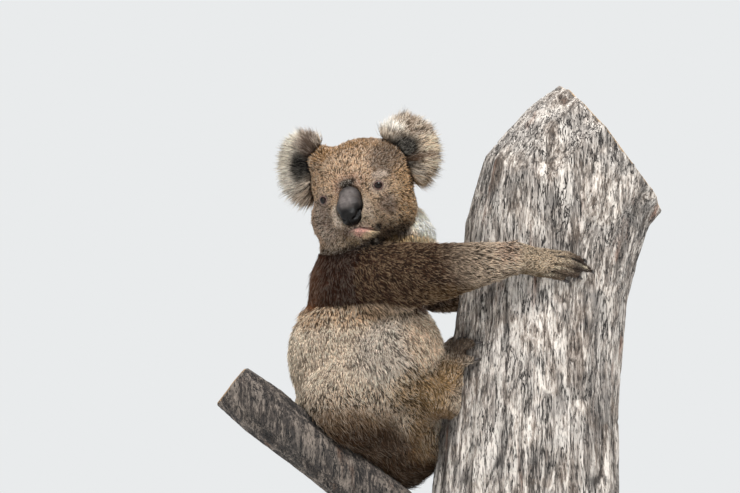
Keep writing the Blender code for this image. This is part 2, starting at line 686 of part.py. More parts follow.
def build_body(trunk, branch):
    bark = grown(trunk, 0.0005)
    head = build_head()
    wrists = {"right": build_hand("right", -1, ARM_RIGHT, bark),
              "left": build_hand("left", 1, ARM_LEFT, bark)}
    build_foot("right", -1, 0.0, bark)
    build_foot("left", 1, LEFT_LEG_LIFT, bark)
    arms = {"right": ARM_RIGHT, "left": ARM_LEFT}
    thighs = {"right": mirrored(THIGH), "left": lifted(THIGH, LEFT_LEG_LIFT)}
    shanks = {"right": mirrored(SHANK), "left": lifted(SHANK, LEFT_LEG_LIFT)}

    forms = torso_forms()
    for word in ("right", "left"):
        forms += limb(arms[word]) + limb(thighs[word]) + limb(shanks[word])
    body = melt(forms, 0.006, 9, 1200)
    cut_away(body, bark)
    cut_away(body, grown(branch, 0.0005))

    # What the neck's root holds above its cut is the head's, and what lies past each wrist is the hand's.
    root, along_neck = neck_cut()
    cut_away(body, cylinder(root - along_neck * 1.5 * GAP, along_neck, NECK[1][1] + 0.009, 0.1))
    cut_away(body, grown(head))
    for word in ("right", "left"):
        wrist, ahead = wrists[word]
        cut_away(body, cell_beyond(wrist - ahead * GAP, ahead, 0.14, 0.14))
        cut_away(body, grown(bpy.data.objects[f"hand_{word}"]))
        cut_away(body, grown(bpy.data.objects[f"foot_{word}"]))
    for side, word in ((-1, "right"), (1, "left")):
        (knee, knee_radius), middle, ankle = shanks[word]
        start = (Vector(knee).lerp(Vector(middle[0]), 0.55), (knee_radius + middle[1]) / 2)
        past_ankle = (Vector(ankle[0]).lerp(Vector(middle[0]), -0.8), ankle[1])
        carve(body, sleeve([start, ankle, past_ankle], SHANK_SLEEVE), f"shank_{word}", "brown_fur")
        outwards, upwards = THIGH_CELL_SHIFT[1] * side, THIGH_CELL_SHIFT[2]
        centre = Vector(thighs[word][1][0]) + Vector((THIGH_CELL_SHIFT[0], outwards, upwards))
        carve(body, ball(centre, THIGH_CELL_RADII, detail=2), f"thigh_{word}", "grey_fur")
    for word in ("right", "left"):
        shoulder, elbow, wrist = (Vector(arms[word][i][0]) for i in (0, 2, 4))
        carve(body, cell_beyond(elbow, wrist - elbow, 0.16, 0.16), f"forearm_{word}", "brown_fur")
        past_elbow = (elbow.lerp(shoulder, -0.3), arms[word][2][1])
        carve(body, sleeve([*arms[word][:3], past_elbow], UPPER_ARM_SLEEVE), f"upper_arm_{word}", "brown_fur")
    carve(body, cylinder(*NECK_CELL, 0.10), "neck", "brown_fur")
    carve(body, half_space(*CHEST_CELL), "chest", "brown_fur")
    carve(body, half_space(*RUMP_CELL), "rump", "grey_fur")
    finish(main_body(body), "abdomen", "grey_fur")


clear_scene()
MODEL = collection("koala")
WORK = collection("workshop")
TRUNK_SOLID, LIMB_SOLID = build_perch()
build_stand()
build_body(TRUNK_SOLID, LIMB_SOLID)
for leftover in list(WORK.objects):
    bpy.data.objects.remove(leftover)
bpy.data.collections.remove(WORK)
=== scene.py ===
"""Koala clinging to a forked gum trunk, a life-size museum model: skin, coat, bark and studio."""
import itertools
import math

import bmesh
import bpy
import numpy as np
from mathutils import Matrix, Vector
from mathutils.bvhtree import BVHTree


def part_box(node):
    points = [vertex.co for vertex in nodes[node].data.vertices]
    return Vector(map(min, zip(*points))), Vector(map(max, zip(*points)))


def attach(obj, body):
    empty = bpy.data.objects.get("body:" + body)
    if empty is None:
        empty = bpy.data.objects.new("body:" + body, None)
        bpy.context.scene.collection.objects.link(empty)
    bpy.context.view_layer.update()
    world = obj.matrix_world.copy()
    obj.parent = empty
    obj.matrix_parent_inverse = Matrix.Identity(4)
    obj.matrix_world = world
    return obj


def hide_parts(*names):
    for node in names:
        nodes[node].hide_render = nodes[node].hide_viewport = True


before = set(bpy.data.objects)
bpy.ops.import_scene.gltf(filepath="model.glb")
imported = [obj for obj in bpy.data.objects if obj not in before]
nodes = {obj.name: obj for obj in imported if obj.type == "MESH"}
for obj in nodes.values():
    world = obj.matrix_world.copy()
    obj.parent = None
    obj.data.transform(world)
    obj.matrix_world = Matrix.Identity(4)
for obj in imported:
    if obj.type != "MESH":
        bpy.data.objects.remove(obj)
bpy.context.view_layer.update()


# ---------------------------------------------------------------- studio
# A pale floor that runs out of sight, one soft lamp high in front, a broad weaker one on the left
# and one behind, as for a catalogue picture. The camera looks slightly upwards.
CAMERA_PLACE = Vector((-0.154, -4.489, 0.273))
CAMERA_AIM = Vector((-0.154, 0.0, 0.5869))
CAMERA_LENS = 156.37
LAMPS = {                     # place, size in metres, watts
    "key_softbox": ((0.75, -2.5, 3.7), 1.2, 190.0),
    "fill_softbox": ((-2.6, -2.6, 1.4), 2.4, 36.0),
    "back_softbox": ((0.3, 2.4, 2.8), 2.0, 90.0),
}
LAMP_AIM = Vector((-0.10, 0, 0.45))
FLOOR_RADIUS = 9.0
# The room is pale at eye level, dimmer above it, and bright overhead where a silk hangs
ROOM = {0.17: "#e9ebec", 0.32: "#a9abad", 0.62: "#b9bbbd", 0.80: "#ffffff"}


def linear(hex_colour):
    """The linear (r, g, b, 1) of an sRGB hex colour."""
    parts = [int(hex_colour[i:i + 2], 16) / 255 for i in (1, 3, 5)]
    return (*(c / 12.92 if c <= 0.04045 else ((c + 0.055) / 1.055) ** 2.4 for c in parts), 1.0)


def feed(tree, made, inputs):
    """Gives a shader node's inputs their numbers, their hex colours or their links from other nodes."""
    for socket, value in inputs.items():
        if isinstance(value, bpy.types.Node):
            value = next(output for output in value.outputs if output.enabled)
        if isinstance(value, bpy.types.NodeSocket):
            tree.links.new(value, made.inputs[socket])
        else:
            made.inputs[socket].default_value = linear(value) if isinstance(value, str) else value


def node(tree, kind, inputs=None, **settings):
    """Adds a shader node, with its settings and its inputs."""
    made = tree.nodes.new("ShaderNode" + kind)
    for name, value in settings.items():
        setattr(made, name, value)
    feed(tree, made, inputs or {})
    return made


def set_stops(ramp, stops):
    """Gives a colour ramp its stops, {position: hex colour}."""
    first, *between, last = stops.items()
    for element, (position, hex_colour) in zip(ramp.elements, (first, last)):
        element.position, element.color = position, linear(hex_colour)
    for position, hex_colour in between:
        ramp.elements.new(position).color = linear(hex_colour)


def new_material(name):
    """An empty material: (material, its tree, its Principled shader)."""
    made = bpy.data.materials.new(name)
    made.use_nodes = True
    return made, made.node_tree, made.node_tree.nodes["Principled BSDF"]


def new_object(name, data):
    made = bpy.data.objects.new(name, data)
    bpy.context.scene.collection.objects.link(made)
    return made


def stand_at(obj, place, aim):
    """Puts a camera or a lamp in its place, turned to what it looks at."""
    obj.location = place
    obj.rotation_euler = (aim - place).to_track_quat("-Z", "Y").to_euler()


camera_data = bpy.data.cameras.new("camera")
camera_data.lens = CAMERA_LENS
camera_data.sensor_width = 36.0
camera_data.clip_end = 100.0
camera = new_object("camera", camera_data)
stand_at(camera, CAMERA_PLACE, CAMERA_AIM)
bpy.context.scene.camera = camera

world = bpy.data.worlds.new("studio")
world.use_nodes = True
tree = world.node_tree
facing = node(tree, "TexCoord").outputs["Generated"]
height = node(tree, "SeparateXYZ", {"Vector": facing}).outputs["Z"]
room = node(tree, "ValToRGB", {"Fac": height})
set_stops(room.color_ramp, ROOM)
feed(tree, tree.nodes["Background"], {"Color": room, "Strength": 1.0})
bpy.context.scene.world = world
bpy.context.scene.view_settings.view_transform = "Standard"
for lamp_name, (lamp_place, lamp_size, lamp_watts) in LAMPS.items():
    lamp_data = bpy.data.lights.new(lamp_name, "AREA")
    lamp_data.size = lamp_size
    lamp_data.energy = lamp_watts
    stand_at(new_object(lamp_name, lamp_data), Vector(lamp_place), LAMP_AIM)

bpy.ops.mesh.primitive_circle_add(vertices=96, radius=FLOOR_RADIUS, fill_type="NGON", location=(0, 0, 0))
floor = bpy.context.object
floor.name = "floor"
floor_paint, tree, shader = new_material("pale_floor_paint")
feed(tree, shader, {"Base Color": "#dfe0e0", "Roughness": 0.75})
floor.data.materials.append(floor_paint)


# ---------------------------------------------------------------- display stand
# A flat board painted satin black with an eased edge, and two turned steel rods that carry the
# trunk. Each rod stands in a steel collar that is screwed to the board.
COLLAR_RADIUS = 0.021
COLLAR_THICK = 0.0055
COLLAR_EASE = 0.0012
SCREW_RADIUS = 0.0026
SCREW_FLATNESS = 0.55


def only(*parts):
    """Selects those objects alone and makes the first of them active."""
    bpy.ops.object.select_all(action="DESELECT")
    for part in parts:
        part.select_set(True)
    bpy.context.view_layer.objects.active = parts[0]


def joined(*parts):
    """Makes the first object hold the meshes of them all."""
    only(*parts)
    if len(parts) > 1:
        bpy.ops.object.join()
    return parts[0]


def modify(obj, kind, **settings):
    """Adds one modifier and applies it."""
    only(obj)
    made = obj.modifiers.new(kind.lower(), kind)
    for name, value in settings.items():
        setattr(made, name, value)
    bpy.ops.object.modifier_apply(modifier=made.name)


def paint(obj, material):
    obj.data.materials.clear()
    obj.data.materials.append(material)


def dress(obj, material, body="root"):
    """Gives a new piece its material and its body."""
    paint(obj, material)
    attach(obj, body)


# Satin paint on board: a soft even shine over the slight orange peel that a roller leaves.
black_paint, tree, shader = new_material("satin_black_paint")
spot = node(tree, "TexCoord").outputs["Object"]
peel = node(tree, "TexNoise", {"Vector": spot, "Scale": 420.0, "Detail": 2.0})
dust = node(tree, "TexNoise", {"Vector": spot, "Scale": 14.0, "Detail": 6.0})
shine = node(tree, "MapRange", {"Value": dust, "To Min": 0.34, "To Max": 0.52})
tone = node(tree, "Mix", {"Factor": dust, "A": "#141416", "B": "#232325"}, data_type="RGBA")
grain = node(tree, "Bump", {"Height": peel, "Strength": 0.25, "Distance": 0.0003})
feed(tree, shader, {"Base Color": tone, "Roughness": shine, "Normal": grain})
paint(nodes["stand_base"], black_paint)

# Turned stainless steel: bright, with fine rings left by the tool.
steel, tree, shader = new_material("turned_stainless_steel")
spot = node(tree, "TexCoord").outputs["Object"]
rings = node(tree, "Mapping", {"Vector": spot, "Scale": (30.0, 30.0, 2600.0)})
turning = node(tree, "TexNoise", {"Vector": rings, "Scale": 1.0, "Detail": 2.0})
shine = node(tree, "MapRange", {"Value": turning, "To Min": 0.20, "To Max": 0.36})
ring_bump = node(tree, "Bump", {"Height": turning, "Strength": 0.12, "Distance": 0.0002})
feed(tree, shader, {"Base Color": "#c3c3c4", "Metallic": 1.0, "Roughness": shine, "Normal": ring_bump})

board_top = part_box("stand_base")[1].z
for number in (1, 2):
    rod_name = f"stand_rod_{number}"
    paint(nodes[rod_name], steel)
    low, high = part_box(rod_name)
    middle = (low + high) / 2
    bpy.ops.mesh.primitive_cylinder_add(vertices=64, radius=COLLAR_RADIUS, depth=COLLAR_THICK,
                                        location=(middle.x, middle.y, board_top + COLLAR_THICK / 2))
    collar = bpy.context.object
    modify(collar, "BEVEL", width=COLLAR_EASE, segments=3, limit_method="ANGLE")
    screws = []
    for third in range(3):
        angle = math.radians(30 + 120 * third)
        reach = (COLLAR_RADIUS + high.x - middle.x) / 2
        head_place = (middle.x + reach * math.cos(angle), middle.y + reach * math.sin(angle),
                      board_top + COLLAR_THICK)
        bpy.ops.mesh.primitive_uv_sphere_add(segments=24, ring_count=12, radius=SCREW_RADIUS,
                                             location=head_place)
        screws.append(bpy.context.object)
        screws[-1].scale = (1, 1, SCREW_FLATNESS)
    joined(collar, *screws)
    bpy.ops.object.transform_apply(location=True, rotation=True, scale=True)
    collar.name = f"rod_collar_{number}"
    bpy.ops.object.shade_smooth_by_angle(angle=math.radians(35))
    dress(collar, steel)


# ---------------------------------------------------------------- trunk and limb
# A length of smooth-barked gum with its weathered outer bark still on, sawn at both ends, and a
# dead side limb. The bark is split into long fibrous plates with cracks between them, painted near-black as
# shade.
BARK_STEP = 0.0031
BARK_SMOOTHING = 3
TRUNK_ALONG = Vector((0.12, 0, 1))
LIMB_ALONG = Vector((-0.375, -0.078, 0.285)).normalized()
TRUNK_PLATE, LIMB_PLATE = 0.0170, 0.0120             # width of the plates
TRUNK_RELIEF, LIMB_RELIEF = 0.0028, 0.0024           # depth of the bark's form
GROWTH_RING = 0.0042
# Where each sawn end has its pith, the way it faces, and how far the wood reaches
TRUNK_ENDS = [((0.052, 0.0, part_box("perch_trunk")[0].z), (0, 0, -1), 0.16),
              (Vector((0.186, 0.0, 0.7205)), Vector((0.0330, 0.0, 0.0265)).normalized(), 0.30)]
LIMB_ENDS = [(Vector((-0.345, -0.080, 0.391)), LIMB_ALONG, 0.05)]
# The crack colour is near-black painted shade, laid in the bark's cracks and splits
TRUNK_COLOURS = {"light": "#d8cfc5", "middle": "#9c9187", "dark": "#564b42", "cool": "#979490",
                 "rust": "#80533a", "crack": "#15100d"}
LIMB_COLOURS = {"light": "#7d7268", "middle": "#423a34", "dark": "#221c19", "cool": "#3d3936",
                "rust": "#5e4433", "crack": "#0d0a08"}


def edit(obj, operator, **settings):
    """Runs one operator of edit mode on the whole of a mesh."""
    only(obj)
    bpy.ops.object.mode_set(mode="EDIT")
    bpy.ops.mesh.select_all(action="SELECT")
    operator(**settings)
    bpy.ops.object.mode_set(mode="OBJECT")


def solid_copy(names, name):
    """One new object from copies of CAD solids, their loose triangles merged."""
    made = joined(*[new_object(name, nodes[part].data.copy()) for part in names])
    made.data.materials.clear()
    edit(made, bpy.ops.mesh.remove_doubles, threshold=1e-5)
    made.name = name
    return made


def surface(piece):
    """The places and the normals of a piece's vertices."""
    found = []
    for what in ("co", "normal"):
        values = np.empty(len(piece.data.vertices) * 3, np.float32)
        piece.data.vertices.foreach_get(what, values)
        found.append(values.reshape(-1, 3).astype(np.float64))
    return found


def move_to(piece, points):
    piece.data.vertices.foreach_set("co", points.astype(np.float32).ravel())
    piece.data.update()


def store(mesh, name, values):
    """Stores one number, or one colour, for each vertex."""
    if values.ndim == 1:
        mesh.attributes.new(name, "FLOAT", "POINT").data.foreach_set("value", values.astype(np.float32))
    else:
        whole = np.ones((len(values), 4), np.float32)
        whole[:, :3] = values
        mesh.attributes.new(name, "FLOAT_COLOR", "POINT").data.foreach_set("color", whole.ravel())


def noise(points, size, seed=0):
    """Smooth noise from -1 to 1, in lumps of that size in metres."""
    where = points / np.asarray(size, float) + 31.7 * (seed + 1)
    cell = np.floor(where).astype(np.int64)
    part = where - cell
    part = part * part * (3 - 2 * part)
    total = np.zeros(len(points))
    for corner in itertools.product((0, 1), repeat=3):
        at = (cell + np.array(corner)) * np.array((374761393, 668265263, 1440662683))
        mixed = (at[:, 0] + at[:, 1] + at[:, 2] + seed * 97463) & 0x7FFFFFFF
        mixed = ((mixed ^ (mixed >> 13)) * 1274126177) & 0x7FFFFFFF
        value = ((mixed ^ (mixed >> 16)) & 0xFFFF) / 32767.5 - 1
        total += value * np.prod(np.where(corner, part, 1 - part), axis=1)
    return total


def noise_vectors(points, size, seed):
    """The same for each axis, so that a place can be bent by it."""
    return np.stack([noise(points, size, seed + axis) for axis in range(3)], axis=1)


def smoothstep(low, high, values):
    share = np.clip((values - low) / (high - low), 0, 1)
    return share * share * (3 - 2 * share)


def within(away, width, power=2):
    """1 where away is 0, falling to nothing at about twice the width."""
    return np.exp(-(away / width) ** power)


def bark_form(points, grain_axis, spacing, seed):
    """(height, crack share) of bark split along the grain, in shares of its full depth."""
    axis = np.array(grain_axis)
    run = points @ axis
    squeezed = points - np.outer(run * 0.90, axis) + noise_vectors(points, 0.050, seed) * 0.004
    plates = noise(squeezed, spacing, seed + 5)
    fine = np.abs(noise(squeezed, spacing * 0.40, seed + 9))
    fibres = noise(points - np.outer(run * 0.95, axis), 0.0042, seed + 17)
    where_split = smoothstep(-0.05, 0.45, noise(points - np.outer(run * 0.6, axis), 0.055, seed + 21))
    crack = (1 - smoothstep(0.02, 0.13, np.abs(plates))) * where_split
    small_crack = 1 - smoothstep(0.01, 0.20, fine)
    height = 0.55 * plates + 0.35 * fibres - 0.9 * crack - 0.45 * small_crack
    return height, np.clip(crack + 0.35 * small_crack, 0, 1)


def bark_material(name, colours, grain_axis):
    """Weathered bark: a dry matt surface with streaks along the grain, and painted shade in its cracks."""
    made, tree, shader = new_material(name)
    spot = node(tree, "TexCoord").outputs["Object"]
    turn = Vector(grain_axis).rotation_difference(Vector((0, 0, 1))).to_euler()
    grain = node(tree, "Mapping", {"Vector": spot, "Rotation": turn, "Scale": (1.0, 1.0, 0.16)})
    # Fibres 3 mm wide, plates of a finger's width, and weathered patches as broad as a hand
    streak = node(tree, "TexNoise", {"Vector": grain, "Scale": 330.0, "Detail": 6.0, "Roughness": 0.75})
    patch = node(tree, "TexNoise", {"Vector": spot, "Scale": 22.0, "Detail": 5.0, "Roughness": 0.6,
                                    "Distortion": 0.6})
    long_patch = node(tree, "TexNoise", {"Vector": grain, "Scale": 38.0, "Detail": 4.0})
    plates = node(tree, "TexNoise", {"Vector": grain, "Scale": 66.0, "Detail": 5.0, "Roughness": 0.65,
                                     "Distortion": 0.8})
    plate_share = node(tree, "MapRange", {"Value": plates, "From Min": 0.36, "From Max": 0.62,
                                          "To Min": -0.17, "To Max": 0.17})
    mixed = node(tree, "Math", {0: streak, 1: plate_share}, operation="ADD")
    tone = node(tree, "ValToRGB", {"Fac": mixed})
    set_stops(tone.color_ramp, {0.36: colours["dark"], 0.49: colours["middle"], 0.64: colours["light"]})
    cool_share = node(tree, "MapRange", {"Value": patch, "From Min": 0.42, "From Max": 0.62,
                                         "To Max": 0.45})
    shaded = node(tree, "Mix", {"Factor": cool_share, "A": tone, "B": colours["cool"]}, data_type="RGBA")
    rust_share = node(tree, "MapRange", {"Value": long_patch, "From Min": 0.62, "From Max": 0.74,
                                         "To Max": 0.65})
    rusted = node(tree, "Mix", {"Factor": rust_share, "A": shaded, "B": colours["rust"]}, data_type="RGBA")
    # Painted shade: short black splits between the fibres, and fewer long ones that run on for a hand's
    # breadth
    dashes = node(tree, "TexNoise", {"Vector": grain, "Scale": 560.0, "Detail": 3.0, "Roughness": 0.6,
                                     "Distortion": 0.4})
    dash_share = node(tree, "MapRange", {"Value": dashes, "From Min": 0.56, "From Max": 0.66,
                                         "To Max": 0.90})
    long_grain = node(tree, "Mapping", {"Vector": spot, "Rotation": turn, "Scale": (1.0, 1.0, 0.085)})
    lines = node(tree, "TexNoise", {"Vector": long_grain, "Scale": 88.0, "Detail": 4.0, "Roughness": 0.62,
                                    "Distortion": 0.35})
    line_gap = node(tree, "Math", {0: lines, 1: 0.5}, operation="SUBTRACT")
    line_away = node(tree, "Math", {0: line_gap}, operation="ABSOLUTE")
    line_share = node(tree, "MapRange", {"Value": line_away, "From Min": 0.008, "From Max": 0.024,
                                         "To Min": 1.0, "To Max": 0.0})
    line_mask = node(tree, "MapRange", {"Value": patch, "From Min": 0.40, "From Max": 0.52})
    masked = node(tree, "Math", {0: line_share, 1: line_mask}, operation="MULTIPLY")
    split_share = node(tree, "Math", {0: dash_share, 1: masked}, operation="MAXIMUM")
    dashed = node(tree, "Mix", {"Factor": split_share, "A": rusted, "B": colours["crack"]},
                  data_type="RGBA")
    # Painted shade: the cracks of the bark's form are darkened towards near-black
    crack = node(tree, "Attribute", attribute_name="crack").outputs["Fac"]
    crack_share = node(tree, "Math", {0: crack, 1: 0.82}, operation="MULTIPLY")
    split = node(tree, "Mix", {"Factor": crack_share, "A": dashed, "B": colours["crack"]},
                 data_type="RGBA")
    # The sawn ends: pale wood with growth rings round the pith, and darker heartwood
    sawn = node(tree, "Attribute", attribute_name="sawn").outputs["Fac"]
    pith = node(tree, "Attribute", attribute_name="pith").outputs["Fac"]
    ring_waver = node(tree, "Math", {0: patch, 1: 0.004, 2: pith}, operation="MULTIPLY_ADD")
    rings = node(tree, "Math", {0: ring_waver, 1: 2 * math.pi / GROWTH_RING}, operation="MULTIPLY")
    ring_wave = node(tree, "Math", {0: rings}, operation="SINE")
    ring_share = node(tree, "MapRange", {"Value": ring_wave, "From Min": -1.0})
    wood = node(tree, "Mix", {"Factor": ring_share, "A": "#cdb08a", "B": "#a98458"}, data_type="RGBA")
    heart = node(tree, "MapRange", {"Value": pith, "From Min": 0.030, "From Max": 0.075, "To Min": 0.45,
                                    "To Max": 0.0})
    hearted = node(tree, "Mix", {"Factor": heart, "A": wood, "B": "#8a5f3e"}, data_type="RGBA")
    whole = node(tree, "Mix", {"Factor": sawn, "A": split, "B": hearted}, data_type="RGBA")
    rough = node(tree, "MapRange", {"Value": streak, "To Min": 0.78, "To Max": 0.97})
    speck = node(tree, "TexNoise", {"Vector": spot, "Scale": 620.0, "Detail": 3.0})
    fibre_bump = node(tree, "Bump", {"Height": streak, "Strength": 0.8, "Distance": 0.0014})
    dash_bump = node(tree, "Bump", {"Height": split_share, "Strength": 0.9, "Distance": 0.0018,
                                    "Normal": fibre_bump}, invert=True)
    speck_bump = node(tree, "Bump", {"Height": speck, "Strength": 0.35, "Distance": 0.0006,
                                     "Normal": dash_bump})
    feed(tree, shader, {"Base Color": whole, "Roughness": rough, "Normal": speck_bump})
    return made


def sawn_faces(points, normals, ends):
    """(share of sawn wood, distance from the pith) for each vertex."""
    sawn = np.zeros(len(points))
    pith = np.full(len(points), 0.1)
    for centre, direction, reach in ends:
        facing = normals @ np.array(direction)
        depth = np.abs((points - np.array(centre)) @ np.array(direction))
        away = np.linalg.norm(points - np.array(centre), axis=1)
        share = smoothstep(0.80, 0.95, facing) * (1 - smoothstep(0.006, 0.010, depth)) * (away < reach)
        pith = np.where(share > 0.01, away, pith)
        sawn = np.maximum(sawn, share)
    return sawn, pith


def barked(node_name, piece_name, material, grain_axis, spacing, depth, ends, seed):
    """The wood's solid again, with the bark's plates and cracks in its surface."""
    piece = solid_copy([node_name], piece_name)
    modify(piece, "REMESH", mode="VOXEL", voxel_size=BARK_STEP)
    modify(piece, "SMOOTH", factor=0.5, iterations=BARK_SMOOTHING)
    points, normals = surface(piece)
    sawn, pith = sawn_faces(points, normals, ends)
    height, crack = bark_form(points, grain_axis, spacing, seed)
    rough_saw = 0.06 * noise(points, 0.006, 3)
    lift = (height * (1 - sawn) + rough_saw * sawn) * depth
    move_to(piece, points + normals * lift[:, None])
    store(piece.data, "crack", crack * (1 - sawn))
    store(piece.data, "sawn", sawn)
    store(piece.data, "pith", pith)
    piece.data.shade_smooth()
    dress(piece, material)
    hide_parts(node_name)
    return piece


trunk_bark = bark_material("weathered_gum_bark", TRUNK_COLOURS, TRUNK_ALONG)
limb_bark = bark_material("dead_limb_bark", LIMB_COLOURS, LIMB_ALONG)
trunk = barked("perch_trunk", "trunk_bark", trunk_bark, TRUNK_ALONG.normalized(), TRUNK_PLATE,
               TRUNK_RELIEF, TRUNK_ENDS, 11)
limb = barked("perch_limb", "limb_bark", limb_bark, LIMB_ALONG, LIMB_PLATE, LIMB_RELIEF, LIMB_ENDS, 23)


# ---------------------------------------------------------------- skin
# The whole animal in one skin, from the crown to the toes. It lies inside the coat's outline by
# the coat's depth, and is bare only at the lids, the lips and the gaps between the fingers.
HEAD_PLACE = Vector((-0.1665, -0.036, 0.6660))
HEAD_YAW, HEAD_PITCH, HEAD_ROLL = 18.0, 5.0, 13.0
EAR_PLACE = (0.0800, -0.0180, 0.0470)
EAR_LIFT = {"right": 0.006, "left": -0.008}
EAR_OUTWARD_TURN, EAR_OUTWARD_LEAN = 12.0, 18.0
EAR_ROOT = np.array((-0.022, 0, -0.026))
EAR_FLESH = (0.74, 0.50, 0.74)         # the ear's flesh over its outline with the hair on
SIDES = ((1, "right"), (-1, "left"))


def both(*parts):
    """The names of those parts on the right and on the left."""
    return [f"{part}_{word}" for part in parts for _, word in SIDES]


FLESH = ["head", *both("ear"), "neck", "chest", "abdomen", "rump",
         *both("upper_arm", "forearm", "hand", "thigh", "shank", "foot")]
COAT_DEPTH = {"head": 0.0042, "ear": 0.0, "neck": 0.0055, "chest": 0.0055, "abdomen": 0.0055,
              "rump": 0.0060, "upper_arm": 0.0050, "forearm": 0.0045, "hand": 0.0014, "thigh": 0.0052,
              "shank": 0.0040, "foot": 0.0014}
FACE_DEPTH = 0.0026
SKIN_STEP = 0.0027
PART_OVERLAP = 0.0006                  # closes the thin cuts between the solids
# Folds of the hide: where the shoulder's coat ends over the back, the parting on the knee, the
# flank and the calf. Each is a line of points with y to the side, the same on both sides.
FOLDS = [
    [(-0.262, 0.0, 0.483), (-0.2515, 0.02, 0.488), (-0.2259, 0.0488, 0.502), (-0.1814, 0.0861, 0.5045),
     (-0.1404, 0.117, 0.503), (-0.0997, 0.1296, 0.496)],
    [(-0.109, 0.108, 0.49), (-0.112, 0.122, 0.47), (-0.1135, 0.1297, 0.456)],
    [(-0.148, 0.11, 0.495), (-0.172, 0.115, 0.47), (-0.18, 0.12, 0.44)],
    [(-0.087, 0.11, 0.39), (-0.082, 0.1, 0.362), (-0.074, 0.09, 0.345)],
]
FOLD_DEPTH, FOLD_WIDTH = 0.0060, 0.0050
# The gaps between the right hand's five fingers, with y to the side. The left hand lies lower.
RIGHT_GAPS = [[(0.0745, 0.1333, 0.5695), (0.1004, 0.1346, 0.569), (0.1221, 0.1275, 0.564)],
              [(0.084, 0.1368, 0.5638), (0.1142, 0.1372, 0.563), (0.14, 0.1239, 0.5543)],
              [(0.086, 0.138, 0.5545), (0.1105, 0.1388, 0.5523), (0.1365, 0.125, 0.543)],
              [(0.08, 0.1354, 0.5455), (0.0981, 0.1366, 0.5428), (0.1173, 0.1278, 0.5362)]]
LEFT_HAND_SHIFT = (-0.0016, -0.0009, -0.012)
LEFT_GAPS = [[tuple(a + b for a, b in zip(point, LEFT_HAND_SHIFT)) for point in line]
             for line in RIGHT_GAPS]
GAP_DEPTH, GAP_WIDTH = 0.0046, 0.0022
# The mouth, in the head's axes
MOUTH_HALF = 0.026                     # from the middle to each corner
MOUTH_TOP = -0.0560                    # height under the nose
MOUTH_FALL = 0.0120                    # how much lower the corners lie
# (how far below the mouth's line, width, rise)
PARTING, LOWER_LIP, UPPER_LIP = (0.0, 0.0016, -0.0040), (0.0046, 0.0030, 0.0020), (-0.0034, 0.0026, 0.0008)
# What is worked finer: the muzzle, in the head's axes, and all that is near a finger gap
MUZZLE_BACK, MUZZLE_HALF, MUZZLE_LOW, MUZZLE_TOP = 0.030, 0.052, -0.080, 0.012
FINGERS_REACH = 0.010


def head_axes():
    """The head's axes in columns: x to the animal's right, y forwards, z up."""
    yaw, pitch, roll = (math.radians(a) for a in (HEAD_YAW, HEAD_PITCH, HEAD_ROLL))
    forward = Vector((-math.sin(yaw) * math.cos(pitch), -math.cos(yaw) * math.cos(pitch), -math.sin(pitch)))
    up = (Vector((0, 0, 1)) - forward * forward.z).normalized()
    up = Matrix.Rotation(-roll, 3, -forward) @ up
    return Matrix((forward.cross(up), forward, up)).transposed()


HEAD_TURN = head_axes()
HEAD_AXES = np.array(HEAD_TURN)


def in_head(point):
    return HEAD_PLACE + HEAD_TURN @ Vector(point)


def to_head(points):
    return (points - np.array(HEAD_PLACE)) @ HEAD_AXES


def ear_axes(side):
    turn = Matrix.Rotation(math.radians(-EAR_OUTWARD_TURN * side), 3, "Z")
    lean = Matrix.Rotation(math.radians(EAR_OUTWARD_LEAN * side), 3, "Y")
    return HEAD_TURN @ turn @ lean


EARS = {word: (side, np.array(in_head((side * EAR_PLACE[0], EAR_PLACE[1], EAR_PLACE[2] + EAR_LIFT[word]))),
               np.array(ear_axes(side))) for side, word in SIDES}


def to_ear(points, word):
    """Places in the ear's axes: x away from the head, y forwards, z up."""
    side, centre, axes = EARS[word]
    return ((points - centre) @ axes) * np.array((side, 1, 1))


def soften(mesh, values, rounds):
    """Evens out a number over neighbouring vertices."""
    ends = np.empty(len(mesh.edges) * 2, np.int32)
    mesh.edges.foreach_get("vertices", ends)
    ends = ends.reshape(-1, 2)
    count = np.bincount(ends.ravel(), minlength=len(values)) + 1
    for _ in range(rounds):
        total = values.copy()
        total += np.bincount(ends[:, 0], values[ends[:, 1]], len(values))
        total += np.bincount(ends[:, 1], values[ends[:, 0]], len(values))
        values = total / count
    return values


def nearest_parts(points):
    """The index in FLESH of the CAD solid nearest to each point."""
    corners, faces, owner = [], [], []
    for index, name in enumerate(FLESH):
        mesh = nodes[name].data
        start = len(corners)
        corners += [v.co.copy() for v in mesh.vertices]
        for polygon in mesh.polygons:
            faces.append([start + i for i in polygon.vertices])
            owner.append(index)
    tree = BVHTree.FromPolygons(corners, faces)
    return np.array([owner[tree.find_nearest(Vector(p))[2]] for p in points])


def belongs(owner, *names):
    """Which points belong to those solids, from the index of each point's own."""
    return np.isin(owner, [FLESH.index(name) for name in names])


def one_sided(points):
    """Both sides of the body laid on one, with y to the side."""
    return points * np.array((1, 0, 1)) + np.abs(points) * np.array((0, 1, 0))


def near_lines(points, lines):
    """Distance from each point to the nearest of the lines, taking both sides of the body alike."""
    folded = one_sided(points)
    found = np.full(len(points), 1.0)
    for line in lines:
        for start, end in zip(line, line[1:]):
            start, run = np.array(start), np.array(end) - np.array(start)
            share = np.clip(((folded - start) @ run) / (run @ run), 0, 1)
            found = np.minimum(found, np.linalg.norm(folded - start - share[:, None] * run, axis=1))
    return found


def near_gaps(points):
    """Distance from each point to the nearest gap between the fingers of its own side's hand."""
    return np.where(points[:, 1] < 0, near_lines(points, RIGHT_GAPS), near_lines(points, LEFT_GAPS))


def mouth_drop(local):
    """How far below the mouth's line each point is, in the head's axes."""
    line = MOUTH_TOP - MOUTH_FALL * np.clip(np.abs(local[:, 0]) / MOUTH_HALF, 0, 1.2) ** 2
    return line - local[:, 2]


